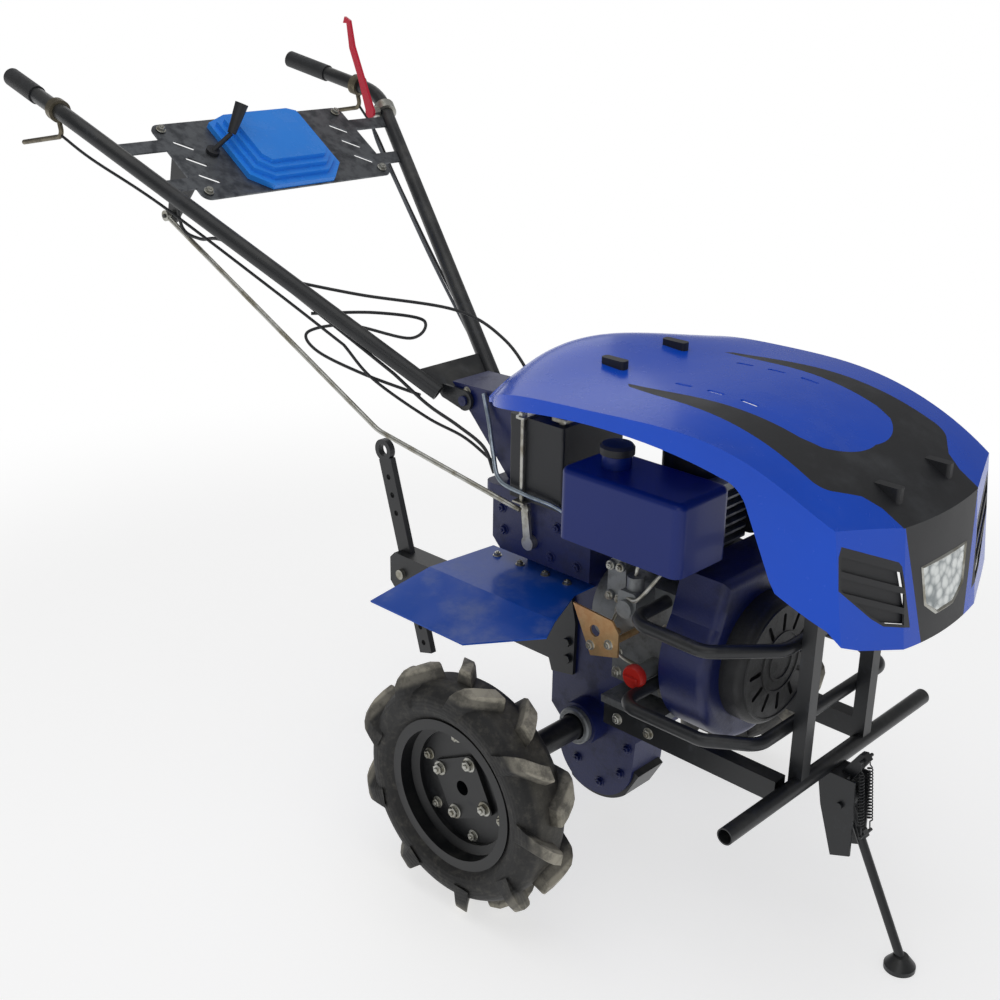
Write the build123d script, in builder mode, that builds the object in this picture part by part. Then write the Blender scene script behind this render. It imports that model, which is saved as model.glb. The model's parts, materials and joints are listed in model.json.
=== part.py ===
"""Two-wheel walking tractor with a single-cylinder diesel engine, in millimetres.

X points forward, Y to the machine's left and Z up. The origin is on the floor
below the middle of the whole machine.
"""
import os
from math import atan2, cos, degrees, radians, sqrt

from build123d import *

os.makedirs("parts", exist_ok=True)

# Stance
axle_x = 340
wheel_y = 384
tyre_radius = 232

# Wheels
tyre_width = 110
lug_height = 17
lug_width = 24
lugs_per_side = 9
bead_radius = 127
flange_radius = 142
rim_half = 42
rim_sheet = 4
well_radius = 112
well_front = 12
well_rear = 14
disc_radius = 45
disc_sheet = 5
rim_bolt_circle = 190
rim_bolt_hole = 11
rim_bolt_count = 6
rim_bolt_turn = 43
hub_plate = 112
hub_plate_sheet = 8
hub_bolt_circle = 116
hub_bolt_hole = 13
hub_turn = 28
hub_bore = 28
hub_tube_radius = 24
shaft_radius = 15
fit = 0.3
running = 0.05

# Gearbox
leg_half = 45
leg_bottom = 72
leg_front = 126
leg_mouth_radius = 44
leg_mouth = 84
block_rear = -224
block_front = 20
block_bottom = 537
block_top = 640
block_half = 90

# Frame under the engine
rail_y = 137
rail_width = 30
rail_height = 40
rail_z = 335.5
rail_rear = 118
rail_wall = 3
bumper_x = 495
bumper_radius = 14.5
bumper_wall = 2.5
bumper_half = 310
post_y = 97.5
post_width = 25
post_lean = -4
guard_radius = 11.5
guard_rear = 222
lower_guard_z = 432
lower_guard_half = 240
upper_guard_z = 583
upper_guard_half = 232

# Engine
engine_x = 190
crank_z = 480
crankcase_half = 125
crankcase_top = 600
clutch_radius = 78
clutch_depth = 90
filler_radius = 15
barrel_half = 72
barrel_y = 15
barrel_length = 120
fin_count = 8
fin_pitch = 17
fin_sheet = 4
head_top = 765
shroud_radius = 160
shroud_depth = 95
shroud_top = 645
starter_radius = 118
starter_depth = 45
filler_x = 206
filler_z = 455
filler_y = 176
muffler_z = 705
muffler_length = 190
muffler_height = 110
muffler_depth = 105
filter_radius = 52
filter_height = 90
tank_rear = 34
tank_front = 293
tank_near = -200
tank_far = -62
tank_bottom = 668
tank_top = 798
speed_plate_y = 200
pump_x = 176
pump_z = 572

# Battery and its tray
battery_rear = -165
battery_length = 130
battery_half = 85
battery_near = -110
battery_bottom = 664
battery_height = 160
hold_rod_radius = 4

# Handle column
column_half = 50
column_sheet = 4
column_rear = -376
column_front = -172
column_foot = -222
column_top = 823
tab_width = 80
tab_height = 75
pivot_x = -335
pivot_z = 795
pivot_pin_radius = 10

# Handlebar
handle_base_x = -388
handle_base_z = 802
handle_base_y = 76
handle_elbow_x = -1088
handle_elbow_z = 1273
handle_elbow_y = 401
grip_end_x = -1370
grip_end_z = 1332
grip_end_y = 368
handle_radius = 16
handle_bend = 150
grip_length = 125
grip_radius = 19
hand_clamp = 66
arm_gap = 3
arm_sheet = 7
console_near = 583
console_far = 807
console_half = 250
console_sheet = 4
slot_places = (640, 690, 740)
cover_half = 120
cover_step = 10
clutch_y = 330
clutch_sheet = 6

# Fenders
fender_z = 510
fender_sheet = 3
fender_inner = leg_half + fit
fender_fold = 205
fender_outer = 345
fender_outer_z = 482

# Hood
hood_sheet = 3
hood_bottom = 638
hood_rear = -165
hood_tip = 680
nose_top = 838
nose_rake = 0.115
nose_x = 636
nose_corner_x = 629
nose_corner_y = 112
nose_foot_y = 66
cheek_x = 587
cheek_y = 234
grille_slots = 3
grille_pitch = 32
grille_slot = 22
vent_places = (199, 263, 328)
vent_y = 86
vent_length = 34
vent_width = 8
clip_width = 18

# Stand
stand_pivot_x = 534
stand_pivot_z = 277
stand_foot_x = 667
stand_rod_radius = 8
foot_radius = 27
foot_height = 26
stand_gap = 2
cheek_sheet = 4
cheek_half = 26
spring_y = 14.5
spring_radius = 4.5
spring_pin_radius = 3

# Shift rod and its lever
rod_radius = 5
rod_pin_radius = 4
rod_y = -258
rod_top_x = -1000
rod_top_z = 1081
rod_eye_x = -131
rod_eye_z = 644
gear_shaft_x = -122
gear_shaft_z = 576
shift_sheet = 6

# Drag bar
drag_top_x = -626
drag_top_z = 585
drag_tip_x = -502
drag_tip_z = 166
drag_width = 38
drag_thick = 14
drag_pin_radius = 6
hitch_z = 345
hitch_half = 26


def side(y):
    """Upright plane along the machine at y: first x ahead of the axle, then height."""
    return Plane(origin=(axle_x, y, 0), x_dir=(1, 0, 0), z_dir=(0, -1, 0))


def across(x):
    """Upright plane across the machine, x ahead of the axle: first y, then height."""
    return Plane(origin=(axle_x + x, 0, 0), x_dir=(0, 1, 0), z_dir=(1, 0, 0))


def level(z):
    """Level plane at a height: first x ahead of the axle, then y."""
    return Plane(origin=(axle_x, 0, z), x_dir=(1, 0, 0), z_dir=(0, 0, 1))


def point(x, y, z):
    """A point given by x ahead of the axle, y and height."""
    return Vector(axle_x + x, y, z)


def write(piece, name):
    """Give a finished piece its name and write it."""
    piece.part.label = name
    export_step(piece.part, f"parts/{name}.step")


def mirrored(piece):
    """The same piece on the other side of the machine."""
    with BuildPart() as other_side:
        mirror(piece.part, about=Plane.XZ)
    return other_side


def bent_bar(points, bend, radius, bore=0):
    """A round bar or tube along straight runs joined by bends."""
    with BuildPart() as bar:
        with BuildLine() as path:
            if len(points) > 2:
                FilletPolyline(*points, radius=bend)
            else:
                Line(*points)
        with BuildSketch(Plane(origin=path.line @ 0, z_dir=path.line % 0)):
            Circle(radius)
            if bore > 0:
                Circle(bore, mode=Mode.SUBTRACT)
        sweep()
    return bar


# Wheels, built about their own axle with +Z pointing away from the machine
right_wheel = Plane(origin=(axle_x, -wheel_y, tyre_radius), x_dir=(1, 0, 0), z_dir=(0, -1, 0))
tread_radius = tyre_radius - lug_height
tyre_half = tyre_width / 2
shoulder_half = tyre_half - 11
shoulder_radius = tread_radius - 12
tread_half = tyre_half - 27
wall_radius = flange_radius + 28
bead_half = rim_half - rim_sheet - fit
tyre_sides = 4 * lugs_per_side
lug_pitch = 360 / lugs_per_side
lug_face = tyre_radius * cos(radians(180 / tyre_sides))
lug_end = tyre_half + 2
lug_end_face = tread_radius - 9


def tyre_ring(height, radius, end, end_radius):
    """Many-sided solid of the tyre between two heights, with flats at those radii."""
    with BuildPart() as ring:
        with BuildSketch(Plane.XY.offset(height)):
            RegularPolygon(radius, tyre_sides, major_radius=False)
        extrude(amount=end - height, taper=degrees(atan2(radius - end_radius, end - height)))
    return ring.part


with BuildPart() as half_carcass:
    add(tyre_ring(0, tread_radius, tread_half, tread_radius))
    add(tyre_ring(tread_half, tread_radius, shoulder_half, shoulder_radius))
    add(tyre_ring(shoulder_half, shoulder_radius, tyre_half, wall_radius + 9))
    add(tyre_ring(bead_half, flange_radius + fit, tyre_half, wall_radius), mode=Mode.SUBTRACT)
    add(tyre_ring(0, bead_radius + fit, tyre_half, bead_radius + fit), mode=Mode.SUBTRACT)

with BuildPart() as lug_envelope:
    add(tyre_ring(-4, lug_face, 8, lug_face))
    add(tyre_ring(8, lug_face, shoulder_half - 4, lug_face - 4))
    add(tyre_ring(shoulder_half - 4, lug_face - 4, lug_end, lug_end_face))

# A lug starts past the middle of the tread and trails towards its outer end
lug_middle = ((-4, 0), (shoulder_half - 4, -33), (lug_end, -46))
with BuildPart() as lug:
    with BuildSketch(Plane(origin=(tread_radius - 42, 0, 0), x_dir=(0, 0, 1), z_dir=(1, 0, 0))):
        Polygon(
            *[(reach, trail + lug_width / 2) for reach, trail in lug_middle],
            *[(reach, trail - lug_width / 2) for reach, trail in reversed(lug_middle)],
            align=None,
        )
    extrude(amount=lug_height + 60)
    add(lug_envelope.part, mode=Mode.INTERSECT)

with BuildPart() as carcass:
    add(half_carcass.part)
    mirror(about=Plane.XY)
    with PolarLocations(0, lugs_per_side, start_angle=-90):
        add(lug.part)
    with PolarLocations(0, lugs_per_side, start_angle=lug_pitch / 2 - 90):
        add(mirror(lug.part, about=Plane.XY, mode=Mode.PRIVATE))

with BuildPart() as tyre_right:
    add(right_wheel.location * carcass.part)
write(tyre_right, "tyre_right")
write(mirrored(tyre_right), "tyre_left")

with BuildPart() as rim:
    with BuildSketch(Plane.XZ):
        with BuildLine():
            Polyline(
                (flange_radius, rim_half),
                (flange_radius, rim_half - rim_sheet),
                (bead_radius, rim_half - rim_sheet),
                (bead_radius, well_front + rim_sheet / 2),
                (well_radius, well_front - rim_sheet),
                (well_radius, -well_rear),
                (bead_radius, -well_rear - 2 * rim_sheet),
                (bead_radius, rim_sheet - rim_half),
                (flange_radius, rim_sheet - rim_half),
                (flange_radius, -rim_half),
                (bead_radius - rim_sheet, -rim_half),
                (bead_radius - rim_sheet, -well_rear - 2.5 * rim_sheet),
                (well_radius - rim_sheet, -well_rear - rim_sheet / 2),
                (well_radius - rim_sheet, -disc_sheet),
                (disc_radius, -disc_sheet),
                (disc_radius, 0),
                (well_radius - rim_sheet, 0),
                (well_radius - rim_sheet, well_front - 0.75 * rim_sheet),
                (bead_radius - rim_sheet, well_front + rim_sheet),
                (bead_radius - rim_sheet, rim_half),
                close=True,
            )
        make_face()
    revolve(axis=Axis.Z)
    with BuildSketch(Plane.XY.rotated((0, 0, rim_bolt_turn)).offset(-disc_sheet)):
        with PolarLocations(rim_bolt_circle / 2, rim_bolt_count):
            Circle(rim_bolt_hole / 2)
    extrude(amount=disc_sheet, mode=Mode.SUBTRACT)

with BuildPart(right_wheel) as rim_right:
    add(rim.part)
write(rim_right, "rim_right")
write(mirrored(rim_right), "rim_left")

hub_inner = wheel_y - leg_mouth - 4
shaft_end = wheel_y - leg_mouth + 38
with BuildPart() as hub:
    with BuildSketch(Plane.XY.rotated((0, 0, hub_turn))):
        RectangleRounded(hub_plate, hub_plate, 10)
        with PolarLocations(hub_bolt_circle / 2, 4, start_angle=45):
            Circle(hub_bolt_hole / 2, mode=Mode.SUBTRACT)
    extrude(amount=hub_plate_sheet)
    with BuildSketch():
        Circle(hub_tube_radius)
    extrude(amount=-hub_inner)
    with BuildSketch(Plane.XY.offset(-hub_inner)):
        Circle(shaft_radius)
    extrude(amount=hub_inner - shaft_end)
    with Locations((0, 0, hub_plate_sheet)):
        Hole(hub_bore / 2, depth=60)

with BuildPart(right_wheel) as hub_right:
    add(hub.part)
write(hub_right, "hub_right")
write(mirrored(hub_right), "hub_left")

# Gearbox: the leg that carries the wheels and the block on top of it
with BuildPart() as gearbox:
    with BuildSketch(side(0)):
        with BuildLine():
            Polyline((-72, 199), (-100, 226), (-100, 292), (-150, 430), (-180, block_bottom))
            Polyline((-180, block_bottom), (60, block_bottom), (70, 420), (leg_front, 365))
            Polyline((leg_front, 365), (leg_front, 300), (142, 285), (142, 250), (112, 220), (107, 160))
            ThreePointArc((107, 160), (78, 96), (12, leg_bottom))
            Line((12, leg_bottom), (-10, leg_bottom))
            ThreePointArc((-10, leg_bottom), (-62, 112), (-72, 199))
        make_face()
    extrude(amount=leg_half, both=True)
    with BuildSketch(side(0)):
        Polygon(
            (block_rear, block_bottom + 20),
            (block_rear + 20, block_bottom),
            (block_front, block_bottom),
            (block_front, block_top),
            (block_rear, block_top),
            align=None,
        )
    extrude(amount=block_half, both=True)
    with BuildSketch(side(0)):
        with Locations((0, tyre_radius)):
            Circle(leg_mouth_radius)
    extrude(amount=leg_mouth, both=True)
    for outward in (-1, 1):
        with BuildSketch(side(outward * (leg_mouth - 40))):
            with Locations((0, tyre_radius)):
                Circle(shaft_radius + running)
        extrude(amount=-outward * 40, mode=Mode.SUBTRACT)
write(gearbox, "gearbox")

with BuildPart() as leg_cover:
    with BuildSketch(side(0)):
        with BuildLine():
            Line((-58, 118), (-46, 78))
            ThreePointArc((-46, 78), (12, leg_bottom - 10), (88, 92))
            Polyline((88, 92), (118, 146), (100, 158), (-58, 118))
        make_face()
    extrude(amount=leg_half - 7, both=True)
    add(gearbox.part, mode=Mode.SUBTRACT)
write(leg_cover, "leg_cover")

# Frame
for outward, name in ((-1, "frame_rail_right"), (1, "frame_rail_left")):
    with BuildPart() as rail:
        with BuildSketch(across(rail_rear)):
            with Locations((outward * rail_y, rail_z)):
                Rectangle(rail_width, rail_height)
                Rectangle(rail_width - 2 * rail_wall, rail_height - 2 * rail_wall, mode=Mode.SUBTRACT)
        extrude(amount=bumper_x - bumper_radius - rail_rear)
    write(rail, name)

cross_half = rail_y - rail_width / 2
with BuildPart() as frame_cross:
    with BuildSketch(across(leg_front)):
        with Locations((0, rail_z)):
            Rectangle(2 * cross_half, rail_height)
    extrude(amount=40)
write(frame_cross, "frame_cross")

with BuildPart() as bumper_bar:
    with BuildSketch(side(0)):
        with Locations((bumper_x, rail_z)):
            Circle(bumper_radius)
            Circle(bumper_radius - bumper_wall, mode=Mode.SUBTRACT)
    extrude(amount=bumper_half, both=True)
write(bumper_bar, "bumper_bar")

# Hood: outer and inner skins lofted through cross-sections, each with its half
# width and height at the crease and the rise of the crown above it
hood_stations = (
    (hood_rear, 165, 866, 45),
    (-100, 222, 894, 60),
    (-30, 262, 922, 40),
    (60, 274, 936, 18),
    (220, 266, 943, 12),
    (380, 250, 935, 12),
    (500, 245, 898, 12),
    (586, 234, 855, 11),
    (hood_tip, 205, 812, 3),
)


def hood_plan(z, inset):
    """Outline of the hood seen from above at a height, as the front leans forward going down."""
    lean = nose_rake * (nose_top - z) - inset
    with BuildSketch(level(z)) as plan:
        with BuildLine():
            Polyline(
                (cheek_x + lean, 300),
                (hood_rear + inset, 300),
                (hood_rear + inset, -300),
                (cheek_x + lean, -300),
                (cheek_x + lean, -cheek_y),
                (nose_corner_x + lean, -nose_corner_y),
            )
            ThreePointArc(
                (nose_corner_x + lean, -nose_corner_y),
                (nose_x + lean, 0),
                (nose_corner_x + lean, nose_corner_y),
            )
            Polyline(
                (nose_corner_x + lean, nose_corner_y),
                (cheek_x + lean, cheek_y),
                (cheek_x + lean, 300),
            )
        make_face()
    return plan


def hood_skin(inset):
    """Solid inside the hood's outer surface, drawn in by an inset."""
    with BuildPart() as plan_block:
        add(hood_plan(1000, inset).sketch)
        add(hood_plan(hood_bottom - 20, inset).sketch)
        loft(ruled=True)
    with BuildPart() as skin:
        for x, crease_y, crease_z, crown in hood_stations:
            with BuildSketch(across(x)):
                with BuildLine():
                    wide = crease_y - inset
                    Polyline(
                        (-wide, crease_z - inset),
                        (4 - wide, hood_bottom - 20),
                        (wide - 4, hood_bottom - 20),
                        (wide, crease_z - inset),
                    )
                    ThreePointArc(
                        (wide, crease_z - inset),
                        (0, crease_z + crown - inset),
                        (-wide, crease_z - inset),
                    )
                make_face()
        loft()
        add(plan_block.part, mode=Mode.INTERSECT)
    return skin


hood_outside = hood_skin(0)
hood_inside = hood_skin(hood_sheet)

with BuildPart() as shell:
    add(hood_outside.part)
    add(hood_inside.part, mode=Mode.SUBTRACT)
    with BuildSketch(side(0)):
        with BuildLine():
            Polyline((-200, 560), (-200, 856), (hood_rear, 856))
            ThreePointArc((hood_rear, 856), (130, 916), (394, 888))
            ThreePointArc((394, 888), (424, 876), (440, 856))
            Polyline((440, 856), (490, 750), (501, 733), (587, 697), (622, 664), (663, 641))
            Polyline((663, 641), (700, 641), (700, 560), (-200, 560))
        make_face()
    extrude(amount=300, both=True, mode=Mode.SUBTRACT)

with BuildPart() as nose_region:
    with BuildSketch(across(600)):
        Polygon(
            (-nose_corner_y, nose_top),
            (nose_corner_y, nose_top),
            (nose_foot_y, hood_bottom),
            (-nose_foot_y, hood_bottom),
            align=None,
        )
    extrude(amount=100)

with BuildPart() as inlay_region:
    with BuildSketch(level(nose_top)):
        with BuildLine():
            ThreePointArc((506, 0), (497, 67), (473, 100))
            Polyline((473, 100), (440, 112), (122, 135), (134, 146), (190, 155), (505, 186))
            ThreePointArc((505, 186), (526, 182), (540, 168))
            Polyline((540, 168), (564, 132), (592, 118), (700, 112), (700, 0), (506, 0))
        make_face()
        mirror(about=Plane.XZ)
    extrude(amount=200)

grille_corners = (
    (224, 831),
    (123, 788),
    (117, 780),
    (97, 679),
    (149, 693),
    (172, 710),
    (229, 765),
    (229, 816),
)
with BuildPart() as grille_region:
    for outward in (-1, 1):
        with BuildSketch(across(560)):
            Polygon(*[(outward * y, z) for y, z in grille_corners], align=None)
        extrude(amount=140)

with BuildPart() as grille_holes:
    for outward in (-1, 1):
        with BuildSketch(across(560)):
            for drop in range(grille_slots):
                with BuildLine():
                    top = 816 - drop * grille_pitch
                    Polyline(
                        (outward * 224, top),
                        (outward * 112, top - 48),
                        (outward * 112, top - 48 - grille_slot),
                        (outward * 224, top - grille_slot),
                        (outward * 224, top),
                    )
                make_face()
        extrude(amount=140)
    with BuildSketch(across(560)):
        for outward in (-1, 1):
            Polygon(*[(outward * (y * 0.93 + 11), z * 0.93 + 53) for y, z in grille_corners], align=None)
    extrude(amount=140, mode=Mode.INTERSECT)

with BuildPart() as hood:
    add(shell.part)
    add(nose_region.part, mode=Mode.SUBTRACT)
    add(inlay_region.part, mode=Mode.SUBTRACT)
    add(grille_region.part, mode=Mode.SUBTRACT)
    with BuildSketch(level(900)):
        for outward in (-1, 1):
            with Locations(*[(x, outward * vent_y) for x in vent_places]):
                SlotOverall(vent_length, vent_width)
    extrude(amount=100, mode=Mode.SUBTRACT)
write(hood, "hood")

with BuildPart() as hood_inlay:
    add(shell.part)
    add(inlay_region.part, mode=Mode.INTERSECT)
write(hood_inlay, "hood_inlay")

with BuildPart() as side_grilles:
    add(shell.part)
    add(grille_region.part, mode=Mode.INTERSECT)
    add(nose_region.part, mode=Mode.SUBTRACT)
    add(grille_holes.part, mode=Mode.SUBTRACT)
write(side_grilles, "side_grilles")

lamp_outline = ((-68, 765), (68, 765), (58, 704), (26, 682), (-26, 682), (-58, 704))
with BuildPart() as nose_panel:
    add(shell.part)
    add(nose_region.part, mode=Mode.INTERSECT)
    with BuildSketch(across(600)):
        Polygon(*lamp_outline, align=None)
    extrude(amount=100, mode=Mode.SUBTRACT)
write(nose_panel, "nose_panel")

with BuildPart() as headlamp:
    with BuildSketch(across(618)):
        Polygon(*lamp_outline, align=None)
    extrude(amount=80)
    add(hood_outside.part, mode=Mode.INTERSECT)
write(headlamp, "headlamp")

with BuildPart() as hood_clips:
    for x, half_gap, length, height in ((52, 84, 50, 966), (569, 76, 60, 882)):
        for outward in (-1, 1):
            with BuildSketch(level(height - 40)):
                with Locations((x, outward * half_gap)):
                    RectangleRounded(length, clip_width, 6)
            extrude(amount=40)
    add(hood_outside.part, mode=Mode.SUBTRACT)
write(hood_clips, "hood_clips")

# Posts from the bumper bar up to the hood
for outward, name in ((-1, "front_post_right"), (1, "front_post_left")):
    with BuildPart() as post:
        with BuildSketch(level(rail_z)):
            with Locations((bumper_x + post_lean, outward * post_y)):
                Rectangle(post_width, post_width)
        extrude(amount=700)
        add(hood_inside.part, mode=Mode.INTERSECT)
        with BuildSketch(level(rail_z)):
            with Locations((bumper_x + post_lean, outward * post_y)):
                Rectangle(post_width, post_width)
        extrude(amount=hood_bottom - rail_z)
        with BuildSketch(side(0)):
            with Locations((bumper_x, rail_z)):
                Circle(bumper_radius)
        extrude(amount=bumper_half, both=True, mode=Mode.SUBTRACT)
    write(post, name)

# Guard hoops round the front of the engine
guard_front = bumper_x + post_lean - post_width / 2 - guard_radius
lower_hoop = (
    point(guard_rear, -crankcase_half, lower_guard_z),
    point(guard_rear, -lower_guard_half, lower_guard_z),
    point(391, -lower_guard_half, lower_guard_z + 2),
    point(guard_front, 50 - lower_guard_half, lower_guard_z + 4),
    point(guard_front, lower_guard_half - 50, lower_guard_z + 4),
    point(391, lower_guard_half, lower_guard_z + 2),
    point(guard_rear, lower_guard_half, lower_guard_z),
    point(guard_rear, crankcase_half, lower_guard_z),
)
write(bent_bar(lower_hoop, 34, guard_radius), "guard_lower")

upper_hoop = (
    point(guard_rear, -crankcase_half, upper_guard_z),
    point(guard_rear, 6 - upper_guard_half, upper_guard_z),
    point(378, -upper_guard_half, upper_guard_z + 2),
    point(guard_front, 92 - upper_guard_half, upper_guard_z + 4),
    point(guard_front, upper_guard_half - 92, upper_guard_z + 4),
    point(378, upper_guard_half, upper_guard_z + 2),
    point(guard_rear, upper_guard_half - 6, upper_guard_z),
    point(guard_rear, crankcase_half, upper_guard_z),
)
write(bent_bar(upper_hoop, 40, guard_radius), "guard_upper")

# Engine
rail_top = rail_z + rail_height / 2
crankcase_rear = engine_x - 80
crankcase_front = engine_x + 48
with BuildPart() as crankcase:
    with BuildSketch(across(crankcase_rear)):
        with BuildLine():
            Polyline(
                (-crankcase_half, rail_top + 40),
                (-crankcase_half, crankcase_top),
                (crankcase_half, crankcase_top),
                (crankcase_half, rail_top + 40),
            )
            ThreePointArc(
                (crankcase_half, rail_top + 40),
                (0, rail_top),
                (-crankcase_half, rail_top + 40),
            )
        make_face()
    extrude(amount=crankcase_front - crankcase_rear)
    with BuildSketch(level(rail_top)):
        with Locations(((crankcase_rear + crankcase_front) / 2, 0)):
            Rectangle(crankcase_front - crankcase_rear, 2 * (rail_y + rail_width / 2))
    extrude(amount=14)
    with BuildSketch(across(crankcase_rear)):
        with Locations((0, crank_z)):
            Circle(clutch_radius)
    extrude(amount=-clutch_depth)
    with BuildSketch(side(-crankcase_half)):
        with Locations((filler_x, filler_z)):
            Circle(filler_radius)
    extrude(amount=filler_y - crankcase_half)
    add(gearbox.part, mode=Mode.SUBTRACT)
write(crankcase, "crankcase")

with BuildPart() as gear_cover:
    with BuildSketch(side(-crankcase_half)):
        Polygon((112, 560), (112, 632), (126, 645), (150, 640), (152, 604), (150, 560), align=None)
    extrude(amount=26)
    with BuildSketch(side(-crankcase_half)):
        for x, z in ((121, 571), (121, 628), (142, 630), (142, 571)):
            with Locations((x, z)):
                Circle(9)
    extrude(amount=32)
write(gear_cover, "gear_cover")

barrel_x = engine_x - 16
with BuildPart() as cylinder:
    with BuildSketch(level(crankcase_top)):
        with Locations((barrel_x, barrel_y)):
            Rectangle(barrel_length - 30, 2 * barrel_half - 40)
    extrude(amount=head_top - crankcase_top)
    for step in range(fin_count):
        with BuildSketch(level(crankcase_top + 14 + step * fin_pitch)):
            with Locations((barrel_x, barrel_y)):
                RectangleRounded(barrel_length, 2 * barrel_half, fin_sheet + 10)
        extrude(amount=fin_sheet)
    with BuildSketch(level(head_top - 14)):
        with Locations((barrel_x, barrel_y)):
            RectangleRounded(barrel_length, 2 * barrel_half, fin_sheet + 10)
    extrude(amount=14)
    with BuildSketch(side(barrel_y - barrel_half)):
        with Locations((barrel_x, (tank_bottom + tank_top) / 2)):
            Rectangle(80, 50)
    extrude(amount=barrel_y - barrel_half - tank_far - fit)
write(cylinder, "cylinder")

shroud_rear = crankcase_front
shroud_front = shroud_rear + shroud_depth
with BuildPart() as shroud:
    with BuildSketch(across(shroud_rear)):
        with Locations((0, crank_z)):
            Circle(shroud_radius)
        Polygon(
            (-shroud_radius, crank_z),
            (shroud_radius, crank_z),
            (110, shroud_top),
            (-110, shroud_top),
            align=None,
        )
    extrude(amount=shroud_depth)
    fillet(shroud.faces().sort_by(Axis.X)[-1].edges(), radius=18)
write(shroud, "cooling_shroud")

with BuildPart() as starter:
    with BuildSketch(across(shroud_front)):
        with Locations((0, crank_z)):
            Circle(starter_radius)
    extrude(amount=starter_depth)
    fillet(starter.faces().sort_by(Axis.X)[-1].edges(), radius=16)
    with BuildSketch(across(shroud_front + starter_depth - 6)):
        with Locations((0, crank_z)):
            with PolarLocations(starter_radius * 0.64, 12):
                SlotOverall(34, 9)
    extrude(amount=6, mode=Mode.SUBTRACT)
write(starter, "recoil_starter")

with BuildPart() as tank:
    with BuildSketch(level(tank_bottom)):
        with Locations(((tank_rear + tank_front) / 2, (tank_near + tank_far) / 2)):
            RectangleRounded(tank_front - tank_rear, tank_far - tank_near, 18)
    extrude(amount=tank_top - tank_bottom)
    fillet(tank.faces().sort_by(Axis.Z)[-1].edges(), radius=12)
    with BuildSketch(level(tank_top)):
        with Locations((tank_rear + 70, (tank_near + tank_far) / 2)):
            Circle(26)
    extrude(amount=22)
write(tank, "fuel_tank")

with BuildPart() as air_filter:
    with BuildSketch(level(head_top)):
        with Locations((engine_x - 40, barrel_y + 5)):
            Circle(filter_radius)
    extrude(amount=filter_height)
write(air_filter, "air_filter")

with BuildPart() as muffler:
    with BuildSketch(side(barrel_y + barrel_half)):
        with Locations((barrel_x, muffler_z)):
            RectangleRounded(muffler_length, muffler_height, 40)
    extrude(amount=-muffler_depth)
write(muffler, "muffler")

with BuildPart() as pump:
    with BuildSketch(side(-crankcase_half)):
        with Locations((pump_x, pump_z)):
            RectangleRounded(40, 60, 8)
    extrude(amount=52)
    with BuildSketch(level(pump_z - 10)):
        with Locations((pump_x, -crankcase_half - 30)):
            Circle(15)
    extrude(amount=64)
    with BuildSketch(side(-crankcase_half - 52)):
        with Locations((pump_x, pump_z)):
            Circle(16)
    extrude(amount=8)
write(pump, "injection_pump")

with BuildPart() as speed_plate:
    with BuildSketch(side(4 - speed_plate_y)):
        Polygon((77, 557), (165, 551), (180, 532), (180, 487), (120, 470), align=None)
        with Locations((128, 520)):
            Circle(11, mode=Mode.SUBTRACT)
    extrude(amount=4)
    with BuildSketch(side(-crankcase_half)):
        with Locations((120, 490), (160, 505)):
            Circle(6)
    extrude(amount=speed_plate_y - 4 - crankcase_half)
write(speed_plate, "speed_plate")

# Battery, tray and hold-down
battery_top = battery_bottom + battery_height
hold_x = battery_rear + 38
hold_near = battery_near - hold_rod_radius - 2
hold_far = battery_near + 2 * battery_half + hold_rod_radius + 2
with BuildPart() as tray:
    with BuildSketch(level(block_top)):
        with Locations(((block_rear + 24) / 2, 0)):
            Rectangle(24 - block_rear, 2 * block_half)
        with Locations((block_rear, 0)):
            RectangleRounded(2 * block_half * 0.3, 2 * block_half, 20)
    extrude(amount=battery_bottom - block_top)
write(tray, "battery_tray")

with BuildPart() as battery:
    with BuildSketch(level(battery_bottom)):
        with Locations((battery_rear + battery_length / 2, battery_near + battery_half)):
            RectangleRounded(battery_length, 2 * battery_half, 5)
    extrude(amount=battery_height - 24)
    with BuildSketch(level(battery_top - 24)):
        with Locations((battery_rear + battery_length / 2, battery_near + battery_half)):
            RectangleRounded(battery_length, 2 * battery_half + 2, 5)
    extrude(amount=24)
write(battery, "battery")

with BuildPart() as hold_down:
    with BuildSketch(level(battery_top)):
        with Locations((hold_x, (hold_near + hold_far) / 2)):
            RectangleRounded(22, hold_far - hold_near + 22, 6)
    extrude(amount=4)
    with BuildSketch(level(battery_bottom)):
        with Locations((hold_x, hold_near), (hold_x, hold_far)):
            Circle(hold_rod_radius)
    extrude(amount=battery_height + 16)
    with BuildSketch(level(battery_bottom)):
        with Locations((hold_x, (hold_near - 10 - block_half) / 2)):
            Rectangle(28, 10 - hold_near - block_half)
    extrude(amount=-3)
    with BuildSketch(level(battery_top + 4)):
        with Locations((hold_x, hold_near), (hold_x, hold_far)):
            RegularPolygon(8, 6)
    extrude(amount=7)
write(hold_down, "battery_hold_down")

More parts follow.
